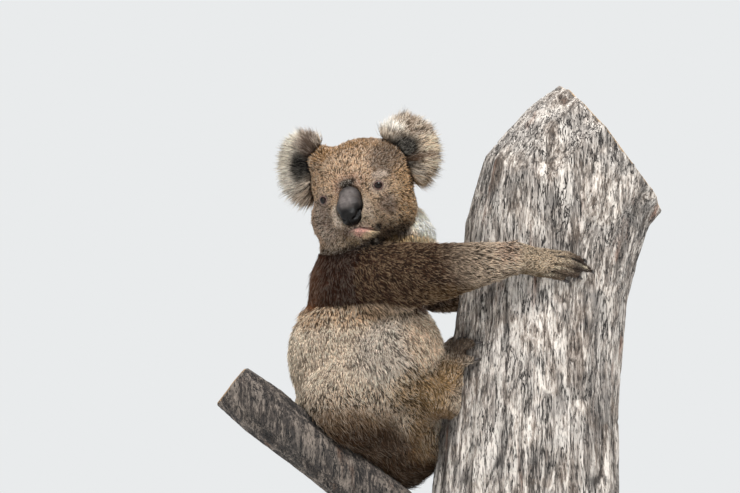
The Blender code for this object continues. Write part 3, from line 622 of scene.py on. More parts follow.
parts = []
for name in FLESH:
    part = solid_copy([name], "skin")
    points, normals = surface(part)
    points += normals * PART_OVERLAP
    if name.startswith("ear"):
        side, centre, axes = EARS[name.split("_")[1]]
        root = centre + axes @ (EAR_ROOT * np.array((side, 1, 1)))
        points = root + ((points - root) @ axes * np.array(EAR_FLESH)) @ axes.T
    move_to(part, points)
    parts.append(part)
skin = joined(*parts)
modify(skin, "REMESH", mode="VOXEL", voxel_size=SKIN_STEP)
modify(skin, "SMOOTH", factor=0.5, iterations=6)

points, normals = surface(skin)
owner = nearest_parts(points)
depth_of = [COAT_DEPTH.get(name, COAT_DEPTH.get(name.rsplit("_", 1)[0])) for name in FLESH]
depth = np.array(depth_of)[owner]
local = to_head(points)
face_share = smoothstep(-0.005, 0.040, local[:, 1]) * smoothstep(-0.095, -0.080, local[:, 2])
depth = np.where(belongs(owner, "head"), depth + (FACE_DEPTH - depth) * face_share, depth)
depth = soften(skin.data, depth, 16)
depth += FOLD_DEPTH * within(near_lines(points, FOLDS), FOLD_WIDTH)
move_to(skin, points - normals * depth[:, None])
modify(skin, "REMESH", mode="VOXEL", voxel_size=SKIN_STEP)
modify(skin, "SMOOTH", factor=0.5, iterations=3)
modify(skin, "DECIMATE", ratio=0.5)

# The muzzle and the hands are worked finer than the rest, for the mouth and the fingers.
only(skin)
bpy.ops.object.mode_set(mode="EDIT")
bpy.ops.mesh.select_all(action="DESELECT")
form = bmesh.from_edit_mesh(skin.data)
middles = np.array([face.calc_center_median() for face in form.faces])
local = to_head(middles)
across, forwards, height = local.T
finer = (forwards > MUZZLE_BACK) & (np.abs(across) < MUZZLE_HALF)
finer &= (height > MUZZLE_LOW) & (height < MUZZLE_TOP)
finer |= near_gaps(middles) < FINGERS_REACH
for face, chosen in zip(form.faces, finer):
    face.select_set(bool(chosen))
bmesh.update_edit_mesh(skin.data)
bpy.ops.mesh.subdivide(number_cuts=1, smoothness=0.6)
bpy.ops.mesh.vertices_smooth(factor=0.5, repeat=3)
bpy.ops.object.mode_set(mode="OBJECT")

points, normals = surface(skin)
local = to_head(points)
below = mouth_drop(local)
in_front = smoothstep(0.038, 0.050, local[:, 1])
across = 1 - smoothstep(MOUTH_HALF * 0.92, MOUTH_HALF * 1.12, np.abs(local[:, 0]))
lip_reach = 1 - smoothstep(0.012, 0.022, np.abs(local[:, 0] + 0.004))
move = np.zeros(len(points))
for (place, width, rise), reach in ((PARTING, across), (LOWER_LIP, lip_reach), (UPPER_LIP, across)):
    move += rise * (within(below - place, width) * in_front * reach)
move -= GAP_DEPTH * within(near_gaps(points), GAP_WIDTH)
move_to(skin, points + normals * move[:, None])


# ---------------------------------------------------------------- eyes and lids
# Glass eyes as a taxidermist sets them: a brown iris with an upright slit behind a clear high
# cornea. Bare lids of dark skin, pinkish at the rim, close round each one.
EYE_RADIUS = 0.0085
EYE_PLACE = (0.0390, 0.0455, -0.0065)
GAZE = (0.38, 0.92, 0.02)                # outwards, forwards and up
EYE_TILT = 0.08
CORNEA_RISE, CORNEA_REACH = 0.045, 42    # in balls, and in degrees
IRIS_REACH = 46
SLIT_HALF = (0.0012, 0.0034)
SPOKES, SPOKE_STRENGTH = 31, 0.35
ORBIT_RISE, ORBIT_REACH, ORBIT_WIDTH = 0.0020, 0.0105, 0.0042
LID_OPENING = (0.0061, 0.0056)           # half width and half height
UPPER_LID_SHARE = 0.86                   # the upper lid hangs lower than the lower one rises
LID_BACK = 96                            # how far round the ball the lids end, in degrees
# Rows of each lid: (degrees past the opening, share of the way to the lid's back, radius in balls)
LID_ROWS = [(-1.5, 0, 1.004), (-0.5, 0, 1.034), (2.5, 0, 1.052), (7, 0, 1.060), (0, 0.30, 1.062),
            (0, 0.55, 1.060), (0, 0.80, 1.050), (0, 1.0, 1.030), (0, 1.03, 0.930), (0, 0.50, 0.920),
            (3, 0, 0.955)]
LID_STEPS = 56
FURRED_ROWS = (3, 7)


def eye_frame(side):
    """(centre, gaze, sideways, up) of an eye."""
    centre = in_head((side * EYE_PLACE[0], EYE_PLACE[1], EYE_PLACE[2]))
    gaze = (HEAD_TURN @ Vector((side * GAZE[0], GAZE[1], GAZE[2]))).normalized()
    up = (HEAD_TURN @ Vector((side * EYE_TILT, 0, 1))).normalized()
    sideways = gaze.cross(up).normalized()
    return centre, gaze, sideways, sideways.cross(gaze).normalized()


def near_eye(points, side):
    """Distance from each point to the middle of that eye."""
    return np.linalg.norm(points - np.array(eye_frame(side)[0]), axis=1)


def lid_point(frame_of_eye, row, step):
    """A lid's point in that row, at that step round the opening."""
    centre, gaze, sideways, up = frame_of_eye
    start, share, height = row
    angle = 2 * math.pi * step / LID_STEPS
    wide = LID_OPENING[0] * abs(math.cos(angle)) ** 0.9 * math.copysign(1, math.cos(angle))
    tall = LID_OPENING[1] * abs(math.sin(angle)) ** 1.15 * math.copysign(1, math.sin(angle))
    tall *= UPPER_LID_SHARE if math.sin(angle) > 0 else 1.0
    opening = math.asin(math.hypot(wide, tall) / EYE_RADIUS)
    polar = opening + math.radians(start) + (math.radians(LID_BACK) - opening) * share
    heading = Vector((wide, tall)).normalized()
    out = EYE_RADIUS * height * math.sin(polar)
    return (centre + sideways * heading.x * out + up * heading.y * out
            + gaze * EYE_RADIUS * height * math.cos(polar))


# The hide rises a little round each eye, to meet the lids.
points, normals = surface(skin)
for side, _ in SIDES:
    points += normals * (ORBIT_RISE * within(near_eye(points, side) - ORBIT_REACH, ORBIT_WIDTH))[:, None]
move_to(skin, points)

# Painted glass: a wet mirror shine over the iris, whose spokes run out from the slit.
glass_eye, tree, shader = new_material("painted_glass_eye")
off_axis, slit, spokes = (node(tree, "Attribute", attribute_name=name).outputs["Fac"]
                          for name in ("off_axis", "slit", "spokes"))
iris = node(tree, "ValToRGB", {"Fac": off_axis})
set_stops(iris.color_ramp, {0.30: "#120805", 0.62: "#1b0e07", 0.80: "#0c0604", 0.95: "#060403"})
spoked = node(tree, "Mix", {"Factor": spokes, "A": iris, "B": "#140a05"}, data_type="RGBA")
pupil = node(tree, "Mix", {"Factor": slit, "A": spoked, "B": "#040303"}, data_type="RGBA")
feed(tree, shader, {"Base Color": pupil, "Roughness": 0.30, "Specular IOR Level": 0.0, "Coat Weight": 0.85,
                    "Coat Roughness": 0.02, "Coat IOR": 1.30})

lids = []
for side, word in SIDES:
    centre, gaze, sideways, up = eye_frame(side)
    bpy.ops.mesh.primitive_uv_sphere_add(segments=64, ring_count=40, radius=EYE_RADIUS, location=(0, 0, 0))
    eyeball = bpy.context.object
    eyeball.name = f"eyeball_{word}"
    points, _ = surface(eyeball)
    polar = np.arccos(np.clip(points[:, 2] / EYE_RADIUS, -1, 1))
    round_axis = np.arctan2(points[:, 1], points[:, 0])
    cornea = 1 + CORNEA_RISE * np.clip(1 - (polar / math.radians(CORNEA_REACH)) ** 2, 0, 1)
    off = np.clip(polar / math.radians(IRIS_REACH), 0, 1)
    from_slit = np.hypot(points[:, 0] / SLIT_HALF[0], points[:, 1] / SLIT_HALF[1])
    spoke_wave = 0.5 + 0.5 * np.sin(round_axis * SPOKES + 3 * np.sin(round_axis * 7))
    move_to(eyeball, (points * cornea[:, None]) @ np.array([sideways, up, gaze]) + np.array(centre))
    store(eyeball.data, "off_axis", off)
    store(eyeball.data, "slit", (1 - smoothstep(0.72, 1.0, from_slit)) * (points[:, 2] > 0))
    store(eyeball.data, "spokes", SPOKE_STRENGTH * spoke_wave * (off > 0.2))
    eyeball.data.shade_smooth()
    dress(eyeball, glass_eye)
    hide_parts(f"eye_{word}")

    # Each lid runs from the opening's edge over its rim and round the ball, then back inside
    rows = range(len(LID_ROWS))
    corners = [lid_point((centre, gaze, sideways, up), LID_ROWS[row], step)
               for row in rows for step in range(LID_STEPS)]
    sides = [((row, step), (row, (step + 1) % LID_STEPS), ((row + 1) % len(rows), (step + 1) % LID_STEPS),
              ((row + 1) % len(rows), step)) for row in rows for step in range(LID_STEPS)]
    lid_mesh = bpy.data.meshes.new("lid")
    lid_mesh.from_pydata(corners, [], [[row * LID_STEPS + step for row, step in quad] for quad in sides])
    lids.append(new_object("lid", lid_mesh))
    edit(lids[-1], bpy.ops.mesh.normals_make_consistent, inside=False)


# ---------------------------------------------------------------- nose
# A broad leathery pad, longer than wide, dry and grey above and moist black below; the grey is partly a
# painted highlight, palest in the middle of the upper half. Its nostrils are comma-shaped slits at the
# sides of the lower half.
NOSTRIL = [(0.0072, -0.0445), (0.0112, -0.0435), (0.0142, -0.0395), (0.0150, -0.0350)]   # (side, height)
NOSTRIL_WIDTH, NOSTRIL_DEPTH = 0.0017, 0.0048
GROOVE_WIDTH, GROOVE_DEPTH = 0.0009, 0.0009          # down the middle, under the tip
WRINKLE_SPACING, WRINKLE_DEPTH = 0.0036, 0.00016
PEBBLE_SIZE, PEBBLE_DEPTH = 0.0011, 0.00010
NOSE_STEP = 0.0014
nose = solid_copy(["nose"], "nose_pad")
modify(nose, "REMESH", mode="VOXEL", voxel_size=NOSE_STEP)
modify(nose, "SMOOTH", factor=0.5, iterations=12)
modify(nose, "SUBSURF", levels=1, render_levels=1)
points, normals = surface(nose)
local = to_head(points)
forward = normals @ HEAD_AXES[:, 1]
flat = np.stack([np.abs(local[:, 0]), local[:, 2]], axis=1)
nostril = np.zeros(len(points))
for start, end in zip(NOSTRIL, NOSTRIL[1:]):
    start, run = np.array(start), np.array(end) - np.array(start)
    share = np.clip(((flat - start) @ run) / (run @ run), 0, 1)
    away = np.linalg.norm(flat - start - share[:, None] * run, axis=1)
    nostril = np.maximum(nostril, within(away, NOSTRIL_WIDTH))
nostril *= smoothstep(-0.1, 0.25, forward)
groove = within(local[:, 0], GROOVE_WIDTH) * (1 - smoothstep(-0.044, -0.036, local[:, 2])) * (forward > 0)
wrinkle = np.sin(local[:, 2] * 2 * math.pi / WRINKLE_SPACING + 2.0 * noise(points, 0.006, 2))
wrinkle *= within(local[:, 2] + 0.019, 0.0055) * smoothstep(0.2, 0.6, forward)
pebble = noise(points, PEBBLE_SIZE, 8)
move = (-NOSTRIL_DEPTH * nostril - GROOVE_DEPTH * groove + WRINKLE_DEPTH * wrinkle
        + PEBBLE_DEPTH * pebble)
move_to(nose, points + normals * move[:, None])
# The nostrils' share, which is also painted dark as shade in them
store(nose.data, "nostril", np.clip(nostril * 1.3, 0, 1))
# The upper half's grey, palest in the middle and fading to the sides and the top, is partly dry leather and
# partly a painted highlight
upper = smoothstep(-0.033, -0.019, local[:, 2] + 0.002 * noise(points, 0.005, 4))
upper *= 1 - 0.70 * smoothstep(0.005, 0.016, np.abs(local[:, 0]))
upper *= 1 - 0.75 * smoothstep(-0.008, 0.002, local[:, 2])
store(nose.data, "upper", upper)

# Nose leather: finely pebbled, with a moist shine that is duller on the dry upper half.
nose_leather, tree, shader = new_material("nose_leather")
spot = node(tree, "TexCoord").outputs["Object"]
upper = node(tree, "Attribute", attribute_name="upper").outputs["Fac"]
hollow = node(tree, "Attribute", attribute_name="nostril").outputs["Fac"]
pebbles = node(tree, "TexVoronoi", {"Vector": spot, "Scale": 900.0})
mottle = node(tree, "TexNoise", {"Vector": spot, "Scale": 160.0, "Detail": 4.0})
greyed = node(tree, "Math", {0: mottle, 1: upper}, operation="MULTIPLY")
# Grey of the dry upper half, with its painted highlight
dry = node(tree, "MapRange", {"Value": greyed, "From Max": 0.62})
skin_tone = node(tree, "Mix", {"Factor": dry, "A": "#0c0a09", "B": "#625b58"}, data_type="RGBA")
# Painted shade: the nostrils are darkened nearly to black
holed = node(tree, "Mix", {"Factor": hollow, "A": skin_tone, "B": "#050404"}, data_type="RGBA")
shine = node(tree, "MapRange", {"Value": upper, "To Min": 0.44, "To Max": 0.52})
pebble_bump = node(tree, "Bump", {"Height": pebbles, "Strength": 0.28, "Distance": 0.0003})
feed(tree, shader, {"Base Color": holed, "Roughness": shine, "Specular IOR Level": 0.15,
                    "Normal": pebble_bump})
nose.data.shade_smooth()
dress(nose, nose_leather)
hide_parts("nose")


# ---------------------------------------------------------------- claws
# Horn, hooked and sharp, almost black, with lighter streaks.
claw_horn, tree, shader = new_material("claw_horn")
spot = node(tree, "TexCoord").outputs["Object"]
streaks = node(tree, "TexNoise", {"Vector": spot, "Scale": 700.0, "Detail": 3.0})
tone = node(tree, "Mix", {"Factor": streaks, "A": "#0e0b0a", "B": "#3a302a"}, data_type="RGBA")
horn_bump = node(tree, "Bump", {"Height": streaks, "Strength": 0.2, "Distance": 0.0002})
feed(tree, shader, {"Base Color": tone, "Roughness": 0.30, "Normal": horn_bump})
for limb_name, count in (("hand", 5), ("foot", 4)):
    for side, word in SIDES:
        names = [f"claw_{limb_name}_{word}_{number}" for number in range(1, count + 1)]
        claws = solid_copy(names, f"claws_{limb_name}_{word}")
        modify(claws, "SUBSURF", levels=2, render_levels=2)
        claws.data.shade_smooth()
        dress(claws, claw_horn)
        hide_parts(*names)


# ---------------------------------------------------------------- markings
# Ash grey and fawn on the back and legs, rufous brown on the neck and shoulders, cream on the chest
# and in the ears. The skin and every tuft take their colour from the same soft-edged marks. Some marks
# are painted shade, under the jaw, the chin, the arms and the rump, in the hide's folds, the finger gaps,
# the mouth's corners and the ears' hollows; some are painted highlights, along the arm's upper edge and
# the fingers' top edges.
GROUND = "#a8957f"
# (place in the head's axes, radii, colour, strength), each laid over those before it
HEAD_MARKS = [
    ((0.0, -0.01, 0.01), (0.1, 0.095, 0.095), "#a88a6c", 1.0),  # whole head
    ((0.0, -0.03, 0.03), (0.08, 0.04, 0.06), "#866b54", 0.7),  # nape
    ((0.015, 0.01, 0.066), (0.056, 0.05, 0.026), "#7f5f3b", 0.8),  # golden crown
    ((0.0, 0.045, 0.03), (0.045, 0.035, 0.028), "#b39477", 0.7),  # forehead
    ((-0.05, 0.028, 0.028), (0.024, 0.035, 0.03), "#55463b", 0.8),  # dark temple
    ((0.0, 0.06, 0.002), (0.022, 0.024, 0.018), "#957460", 0.7),  # between the eyes
    ((0.05, 0.03, -0.035), (0.03, 0.04, 0.034), "#8d7c6e", 0.85),  # cheeks
    ((-0.05, 0.03, -0.037), (0.032, 0.04, 0.036), "#b89c80", 0.85),
    ((-0.066, 0.008, -0.034), (0.022, 0.034, 0.05), "#b8946c", 0.8),  # edge of each cheek
    ((0.072, 0.01, -0.04), (0.014, 0.034, 0.045), "#94755a", 0.7),
    ((-0.044, 0.044, -0.033), (0.012, 0.02, 0.012), "#5c4a41", 0.75),  # dark patches under the eyes
    ((0.046, 0.042, -0.03), (0.01, 0.02, 0.012), "#6b584c", 0.6),
    ((-0.04, 0.05, -0.008), (0.0125, 0.02, 0.0105), "#a8978a", 0.65),  # round the eyes
    ((0.04, 0.05, -0.008), (0.0125, 0.02, 0.0105), "#8d7a6b", 0.6),
    ((-0.044, 0.046, 0.007), (0.013, 0.016, 0.0055), "#c9b6a5", 0.8),  # pale brows
    ((0.044, 0.046, 0.007), (0.011, 0.016, 0.0045), "#b7a28f", 0.5),
    ((0.0225, 0.07, -0.036), (0.007, 0.022, 0.018), "#c9b7a6", 0.85),  # pale strips beside the nose
    ((-0.0235, 0.07, -0.034), (0.006, 0.02, 0.015), "#bba794", 0.65),
    ((0.001, 0.066, 0.0055), (0.015, 0.018, 0.0085), "#1c1714", 0.95),  # dark fringe over the nose
    ((0.004, 0.072, -0.056), (0.026, 0.02, 0.006), "#9d8575", 0.6),  # upper lip
    ((0.02, 0.062, -0.058), (0.014, 0.02, 0.012), "#5a4638", 0.7),  # brown side of the lip
    ((-0.008, 0.066, -0.0625), (0.0115, 0.02, 0.0062), "#cf9a8a", 0.9),  # pink lower lip
    ((-0.015, 0.06, -0.069), (0.012, 0.02, 0.006), "#dbbf9c", 0.9),  # cream chin
    ((0.014, 0.058, -0.072), (0.012, 0.02, 0.008), "#8d7558", 0.7),
    ((-0.0265, 0.054, -0.062), (0.005, 0.014, 0.008), "#241b16", 0.95),  # painted shade in each corner of the mouth
    ((0.027, 0.052, -0.068), (0.005, 0.014, 0.008), "#2e231c", 0.8),
    ((0.062, 0.02, -0.078), (0.024, 0.04, 0.01), "#46372c", 0.85),  # painted shade along the edge of the jaw
    ((0.033, 0.034, -0.084), (0.024, 0.04, 0.01), "#3f3026", 0.85),
    ((0.003, 0.048, -0.084), (0.024, 0.04, 0.0095), "#352820", 0.85),
    ((-0.022, 0.044, -0.079), (0.022, 0.04, 0.009), "#2c2019", 0.88),
    ((-0.042, 0.024, -0.072), (0.022, 0.04, 0.0085), "#3b2c1f", 0.85),
    ((-0.062, 0.006, -0.068), (0.02, 0.04, 0.009), "#4d3a29", 0.8),
    ((-0.022, 0.04, -0.086), (0.03, 0.04, 0.013), "#1b120b", 0.9),  # painted shade under the chin
    ((0.0, 0.01, -0.096), (0.07, 0.06, 0.018), "#1a1009", 0.95),  # throat in painted shade
]
# The same in the model's axes, with y to either side: behind the shoulders' edge
BACK_MARKS = [
    ((-0.17, 0.0, 0.41), (0.17, 0.19, 0.115), "#c2ae99", 1.0),  # pale grey of back and flanks
    ((-0.262, 0.0, 0.42), (0.03, 0.09, 0.085), "#cdb9a3", 0.7),  # middle of the back
    ((-0.205, 0.04, 0.49), (0.095, 0.11, 0.02), "#b09070", 0.75),  # fawn edge under the shoulders
    ((-0.128, 0.13, 0.44), (0.054, 0.05, 0.05), "#b0a294", 0.85),  # grizzled thigh
    ((-0.082, 0.115, 0.455), (0.03, 0.045, 0.04), "#c4a88e", 0.8),  # pinkish knee
    ((-0.185, 0.12, 0.358), (0.095, 0.06, 0.034), "#927d67", 0.6),  # lower flank, darker downwards as painted shade
    ((-0.19, 0.12, 0.334), (0.08, 0.06, 0.03), "#5c4733", 0.85),
    ((-0.092, 0.105, 0.385), (0.036, 0.05, 0.034), "#a0835f", 0.8),  # golden lower thigh
    ((-0.085, 0.06, 0.315), (0.024, 0.06, 0.05), "#8b6d49", 0.8),  # golden ham
    ((-0.16, 0.08, 0.308), (0.078, 0.08, 0.036), "#2d1a09", 0.92),  # brown rump, darkened further as painted shade under the body
    ((-0.115, 0.0, 0.266), (0.11, 0.13, 0.036), "#33200f", 0.95),  # painted shade under the rump
    ((-0.068, 0.1, 0.378), (0.026, 0.04, 0.03), "#8f7350", 0.9),  # shin
    ((-0.056, 0.09, 0.35), (0.024, 0.045, 0.013), "#6a5238", 0.9),  # heel
    ((-0.046, 0.085, 0.405), (0.024, 0.045, 0.022), "#94754d", 0.85),  # instep
    ((-0.026, 0.08, 0.448), (0.03, 0.05, 0.026), "#493a2e", 0.9),  # toes
]
# ... and before it
FRONT_MARKS = [
    ((-0.12, 0.0, 0.54), (0.4, 0.3, 0.2), "#2e190e", 1.0),  # neck and shoulders
    ((-0.24, 0.0, 0.53), (0.028, 0.08, 0.07), "#4b3020", 0.9),  # reddish mane of the back
    ((-0.235, 0.02, 0.5), (0.05, 0.08, 0.012), "#5f3b22", 0.8),
    ((-0.106, 0.14, 0.542), (0.06, 0.07, 0.05), "#3f2d20", 0.95),  # grizzled upper arm
    ((-0.14, 0.11, 0.52), (0.024, 0.05, 0.03), "#3c291d", 0.8),  # reddish armpit
    ((-0.05, 0.0, 0.62), (0.062, 0.075, 0.036), "#ffecd6", 1.0),  # cream chest
    ((-0.08, 0.04, 0.598), (0.05, 0.05, 0.009), "#c9a878", 0.8),  # its fawn lower edge
    ((-0.05, 0.0, 0.55), (0.05, 0.06, 0.05), "#e8dac6", 0.9),
    ((-0.165, 0.085, 0.588), (0.044, 0.07, 0.016), "#140b06", 0.95),  # shade under the chin
    ((0.036, 0.15, 0.552), (0.082, 0.07, 0.06), "#9d8a76", 0.85),  # forearm
    ((0.05, 0.15, 0.552), (0.056, 0.07, 0.06), "#b29d87", 0.9),
    ((-0.06, 0.143, 0.592), (0.085, 0.04, 0.009), "#bda47f", 0.8),  # painted highlight along the arm's upper edge
    ((0.035, 0.15, 0.568), (0.024, 0.04, 0.014), "#937764", 0.6),  # reddish wrist
    ((-0.015, 0.15, 0.514), (0.075, 0.06, 0.013), "#4d3820", 0.92),  # brown underside of the arm, darkened as painted shade
    ((0.08, 0.145, 0.558), (0.04, 0.05, 0.034), "#af9a80", 0.95),  # hand
    ((0.06, 0.14, 0.534), (0.045, 0.05, 0.01), "#4d3e28", 0.9),  # painted shade along its lower edge
    ((0.14, 0.125, 0.542), (0.026, 0.045, 0.022), "#3a2f28", 0.95),  # black-haired fingers
    ((0.105, 0.13, 0.538), (0.026, 0.045, 0.014), "#4a3c31", 0.85),
]
# The edge between them, (x, height), just over the fold at the shoulders
SHOULDER_EDGE = np.array([(-0.300, 0.478), *((x, z + 0.001) for x, _, z in FOLDS[0]), (-0.050, 0.490)])
WHOLLY_FRONT = ["neck", *both("forearm", "hand")]
ON_THE_EDGE = ["chest", "abdomen", *both("upper_arm")]
ARM_START = -0.096                       # the arm is wholly in front of the edge from here on
# Ears, in the head's axes
EAR_MARKS = {
    "right": [
        ((0.08, -0.01, 0.05), (0.09, 0.08, 0.09), "#b0a08e", 1.0),  # fawn grey
        ((0.1, -0.006, 0.07), (0.034, 0.05, 0.036), "#cbbfae", 0.8),  # cream fan
        ((0.104, -0.006, 0.03), (0.026, 0.05, 0.024), "#c3b8ab", 0.8),
        ((0.073, -0.002, 0.05), (0.017, 0.04, 0.022), "#0d0a08", 1.0),  # painted shade in the ear's hollow
        ((0.06, 0.0, 0.082), (0.013, 0.04, 0.017), "#5c463a", 0.65),  # brown root
        ((0.056, 0.004, 0.066), (0.008, 0.04, 0.02), "#3a2b23", 0.9),
        ((0.078, -0.004, 0.01), (0.028, 0.05, 0.015), "#84715f", 0.8),  # lower fringe
        ((0.08, -0.048, 0.045), (0.08, 0.022, 0.08), "#9a8b7b", 0.8),  # back of the ear
    ],
    "left": [
        ((-0.08, -0.01, 0.04), (0.09, 0.08, 0.09), "#9c8c7a", 1.0),
        ((-0.086, -0.006, 0.084), (0.04, 0.05, 0.026), "#857564", 0.85),  # grey fan
        ((-0.108, -0.006, 0.02), (0.026, 0.05, 0.026), "#c2ab90", 0.8),  # cream and gold side
        ((-0.092, -0.006, -0.01), (0.026, 0.05, 0.012), "#a98355", 0.8),
        ((-0.068, -0.002, 0.032), (0.024, 0.04, 0.022), "#0a0806", 1.0),  # painted shade in the ear's hollow
        ((-0.09, 0.0, 0.022), (0.024, 0.04, 0.0045), "#4f3b2c", 0.85),  # dark streak from it
        ((-0.06, 0.0, 0.062), (0.014, 0.04, 0.006), "#d5cfc6", 0.85),  # silvery streak
        ((-0.05, 0.0, 0.074), (0.01, 0.04, 0.014), "#33261f", 0.95),  # dark tuft at the top
        ((-0.084, 0.0, 0.066), (0.0045, 0.04, 0.018), "#5a493b", 0.7),  # dark streaks in the fan
        ((-0.098, 0.0, 0.052), (0.018, 0.04, 0.0045), "#5a493b", 0.6),
        ((-0.08, -0.048, 0.04), (0.08, 0.022, 0.08), "#9a8b7b", 0.8),
    ],
}
MARK_CORE, MARK_RIM = 0.62, 1.33         # shares of its radii where a mark is still full, and gone
# How far the marks' edges stray: (size of the lumps, seed, distance)
BENDS = ((0.016, 40, 0.0040), (0.005, 50, 0.0012))
# Painted shade in the folds of the hide: its strength and width
FOLD_SHADE, FOLD_SHADE_WIDTH = 0.72, 0.0034
# Painted shade in the gaps between the fingers, and a painted highlight along each finger's top edge below
# a gap
GAP_SHADE, GAP_SHADE_WIDTH = 0.92, 0.0021
FINGER_HIGHLIGHT, FINGER_HIGHLIGHT_WIDTH, FINGER_HIGHLIGHT_DROP = 0.65, 0.0018, 0.0046
HIDE_SHADE = 0.55                        # under the coat the hide is about half as bright as the hair
LIP_PATCH = (-0.0075, 0.0050)            # middle of the bare lower lip: across, and below the mouth's line
LIPS_BACK = 0.045                        # the lips end here, in the head's axes
EYE_BARE = 0.0087                        # no coat grows nearer than this to the middle of an eye


def rgb(hex_colour):
    return np.array(linear(hex_colour)[:3])


def blend(colours, hex_colour, share):
    """The colours, moved by that share towards another one."""
    return colours + (rgb(hex_colour) - colours) * share[:, None]


def lay_marks(colours, points, marks):
    for place, radii, hex_colour, strength in marks:
        away = np.linalg.norm((points - np.array(place)) / np.array(radii), axis=1)
        colours = blend(colours, hex_colour, strength * (1 - smoothstep(MARK_CORE, MARK_RIM, away)))
    return colours


def before_edge(bent, waver, owner):
    """1 before the shoulders' edge, 0 behind it."""
    edge = np.interp(bent[:, 0], SHOULDER_EDGE[:, 0], SHOULDER_EDGE[:, 1])
    front = smoothstep(-0.0035, 0.0035, bent[:, 2] + waver - edge)
    front = np.where(belongs(owner, *both("upper_arm")) & (bent[:, 0] > ARM_START), 1, front)
    return np.where(belongs(owner, *WHOLLY_FRONT), 1, np.where(belongs(owner, *ON_THE_EDGE), front, 0))


def markings(points, owner):
    """The linear colour of skin and coat at each point. owner is the index of the nearest solid."""
    bend = sum(noise_vectors(points, size, seed) * distance for size, seed, distance in BENDS)
    bent = points + bend
    waver = 0.0045 * noise(points, 0.026, 47) * smoothstep(0.0, 0.06, points[:, 1] + 0.02)
    front = before_edge(bent, waver, owner)[:, None]
    colours = np.tile(rgb(GROUND), (len(points), 1))
    colours = (lay_marks(colours, one_sided(bent), BACK_MARKS) * (1 - front)
               + lay_marks(colours, one_sided(bent), FRONT_MARKS) * front)
    # Painted shade in the folds of the hide
    colours = colours * (1 - FOLD_SHADE * within(near_lines(points, FOLDS), FOLD_SHADE_WIDTH))[:, None]
    # Painted shade darkens each finger gap nearly to black, and a painted highlight lies as a pale edge on
    # the finger below it
    highlight_under_gap = within(near_gaps(points + np.array((0, 0, FINGER_HIGHLIGHT_DROP))), FINGER_HIGHLIGHT_WIDTH)
    colours = blend(colours, "#dccdb0", FINGER_HIGHLIGHT * highlight_under_gap)
    colours = colours * (1 - GAP_SHADE * within(near_gaps(points), GAP_SHADE_WIDTH, 4))[:, None]
    head_colours = lay_marks(colours, to_head(points + bend * 0.5), HEAD_MARKS)
    colours = np.where(belongs(owner, "head")[:, None], head_colours, colours)
    for word, marks in EAR_MARKS.items():
        ear_colours = lay_marks(colours, to_head(points + bend * 0.6), marks)
        colours = np.where(belongs(owner, f"ear_{word}")[:, None], ear_colours, colours)
    return colours


def lip_patch(local, wide, tall):
    """1 on the bare middle of the lower lip, in the head's axes."""
    across, below = local[:, 0] - LIP_PATCH[0], mouth_drop(local) - LIP_PATCH[1]
    return np.exp(-(across / wide) ** 2 - (below / tall) ** 2) * (local[:, 1] > LIPS_BACK)


def bare_share(points):
    """1 where the skin has no coat: the lips and round the eyes."""
    local = to_head(points)
    lips = within(mouth_drop(local) - 0.0008, 0.0020, 4) * (local[:, 1] > LIPS_BACK)
    lips = np.maximum(lips, 0.80 * lip_patch(local, 0.0070, 0.0036))
    found = lips * (1 - smoothstep(0.020, 0.026, np.abs(local[:, 0])))
    for side, _ in SIDES:
        found = np.maximum(found, near_eye(points, side) < EYE_BARE)
    return found


def lid_rows(vertices):
    """The row of its lid that each vertex of the skin is in."""
    return (vertices - lid_start) % (len(LID_ROWS) * LID_STEPS) // LID_STEPS


lid_start = len(skin.data.vertices)
joined(skin, *lids)
skin.name = "skin"
points, normals = surface(skin)
local = to_head(points)
bare = bare_share(points)
below = mouth_drop(local)
colours = markings(points, nearest_parts(points)) * HIDE_SHADE
colours = blend(colours, "#a87c70", 0.5 * np.where(local[:, 2] < -0.045, bare, 0))
colours = blend(colours, "#c9978b", lip_patch(local, 0.0080, 0.0040))
# Painted shade along the mouth's parting
parting_shade = within(below, 0.0013) * (local[:, 1] > 0.040) * (np.abs(local[:, 0]) < MOUTH_HALF)
colours = blend(colours, "#1d1310", parting_shade)
# The lids are dark skin, with a pinkish rim
vertices = np.arange(len(points))
bare_lid = (vertices >= lid_start) & (lid_rows(vertices) <= FURRED_ROWS[0])
rim = 1 - smoothstep(0.5, 3.0, lid_rows(vertices).astype(float))
lid_colours = blend(np.tile(rgb("#2a1c16"), (len(points), 1)), "#84635a", rim)
store(skin.data, "coat_colour", np.where(bare_lid[:, None], lid_colours, colours))
store(skin.data, "bare", np.maximum(bare, bare_lid))

# Skin: a dull hide with a fine grain, and moist only on the lips and the rims of the lids.
hide, tree, shader = new_material("koala_hide")
spot = node(tree, "TexCoord").outputs["Object"]
tint = node(tree, "Attribute", attribute_name="coat_colour").outputs["Color"]
bare_spot = node(tree, "Attribute", attribute_name="bare").outputs["Fac"]
grain = node(tree, "TexNoise", {"Vector": spot, "Scale": 620.0, "Detail": 4.0})
shade = node(tree, "MapRange", {"Value": grain, "To Min": 0.72, "To Max": 1.25})
toned = node(tree, "VectorMath", {0: tint, "Scale": shade}, operation="SCALE")
rough = node(tree, "MapRange", {"Value": bare_spot, "To Min": 0.92, "To Max": 0.45})
grain_bump = node(tree, "Bump", {"Height": grain, "Strength": 0.6, "Distance": 0.0008})
feed(tree, shader, {"Base Color": toned, "Roughness": rough, "Normal": grain_bump})
skin.data.shade_smooth()
dress(skin, hide)
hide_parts(*FLESH)


# ---------------------------------------------------------------- coat
# Dense woolly fur in thin overlapping tufts that follow the lie of the coat: away from the nose over
# the head, down the back, and out along each limb. It is shortest on the face and feet, and longest in
# the ears. Each tuft is one closed sliver, rooted in the skin.
COAT_SHARE = 1.0
UV_PATCH = 0.0015                        # half of each tuft's patch on the bake map
ROOT_DEPTH = 0.0012                      # how far each tuft is set into the skin
FUR_GAIN = 1.35                          # hairs shade each other, so each is paler than the coat's colour
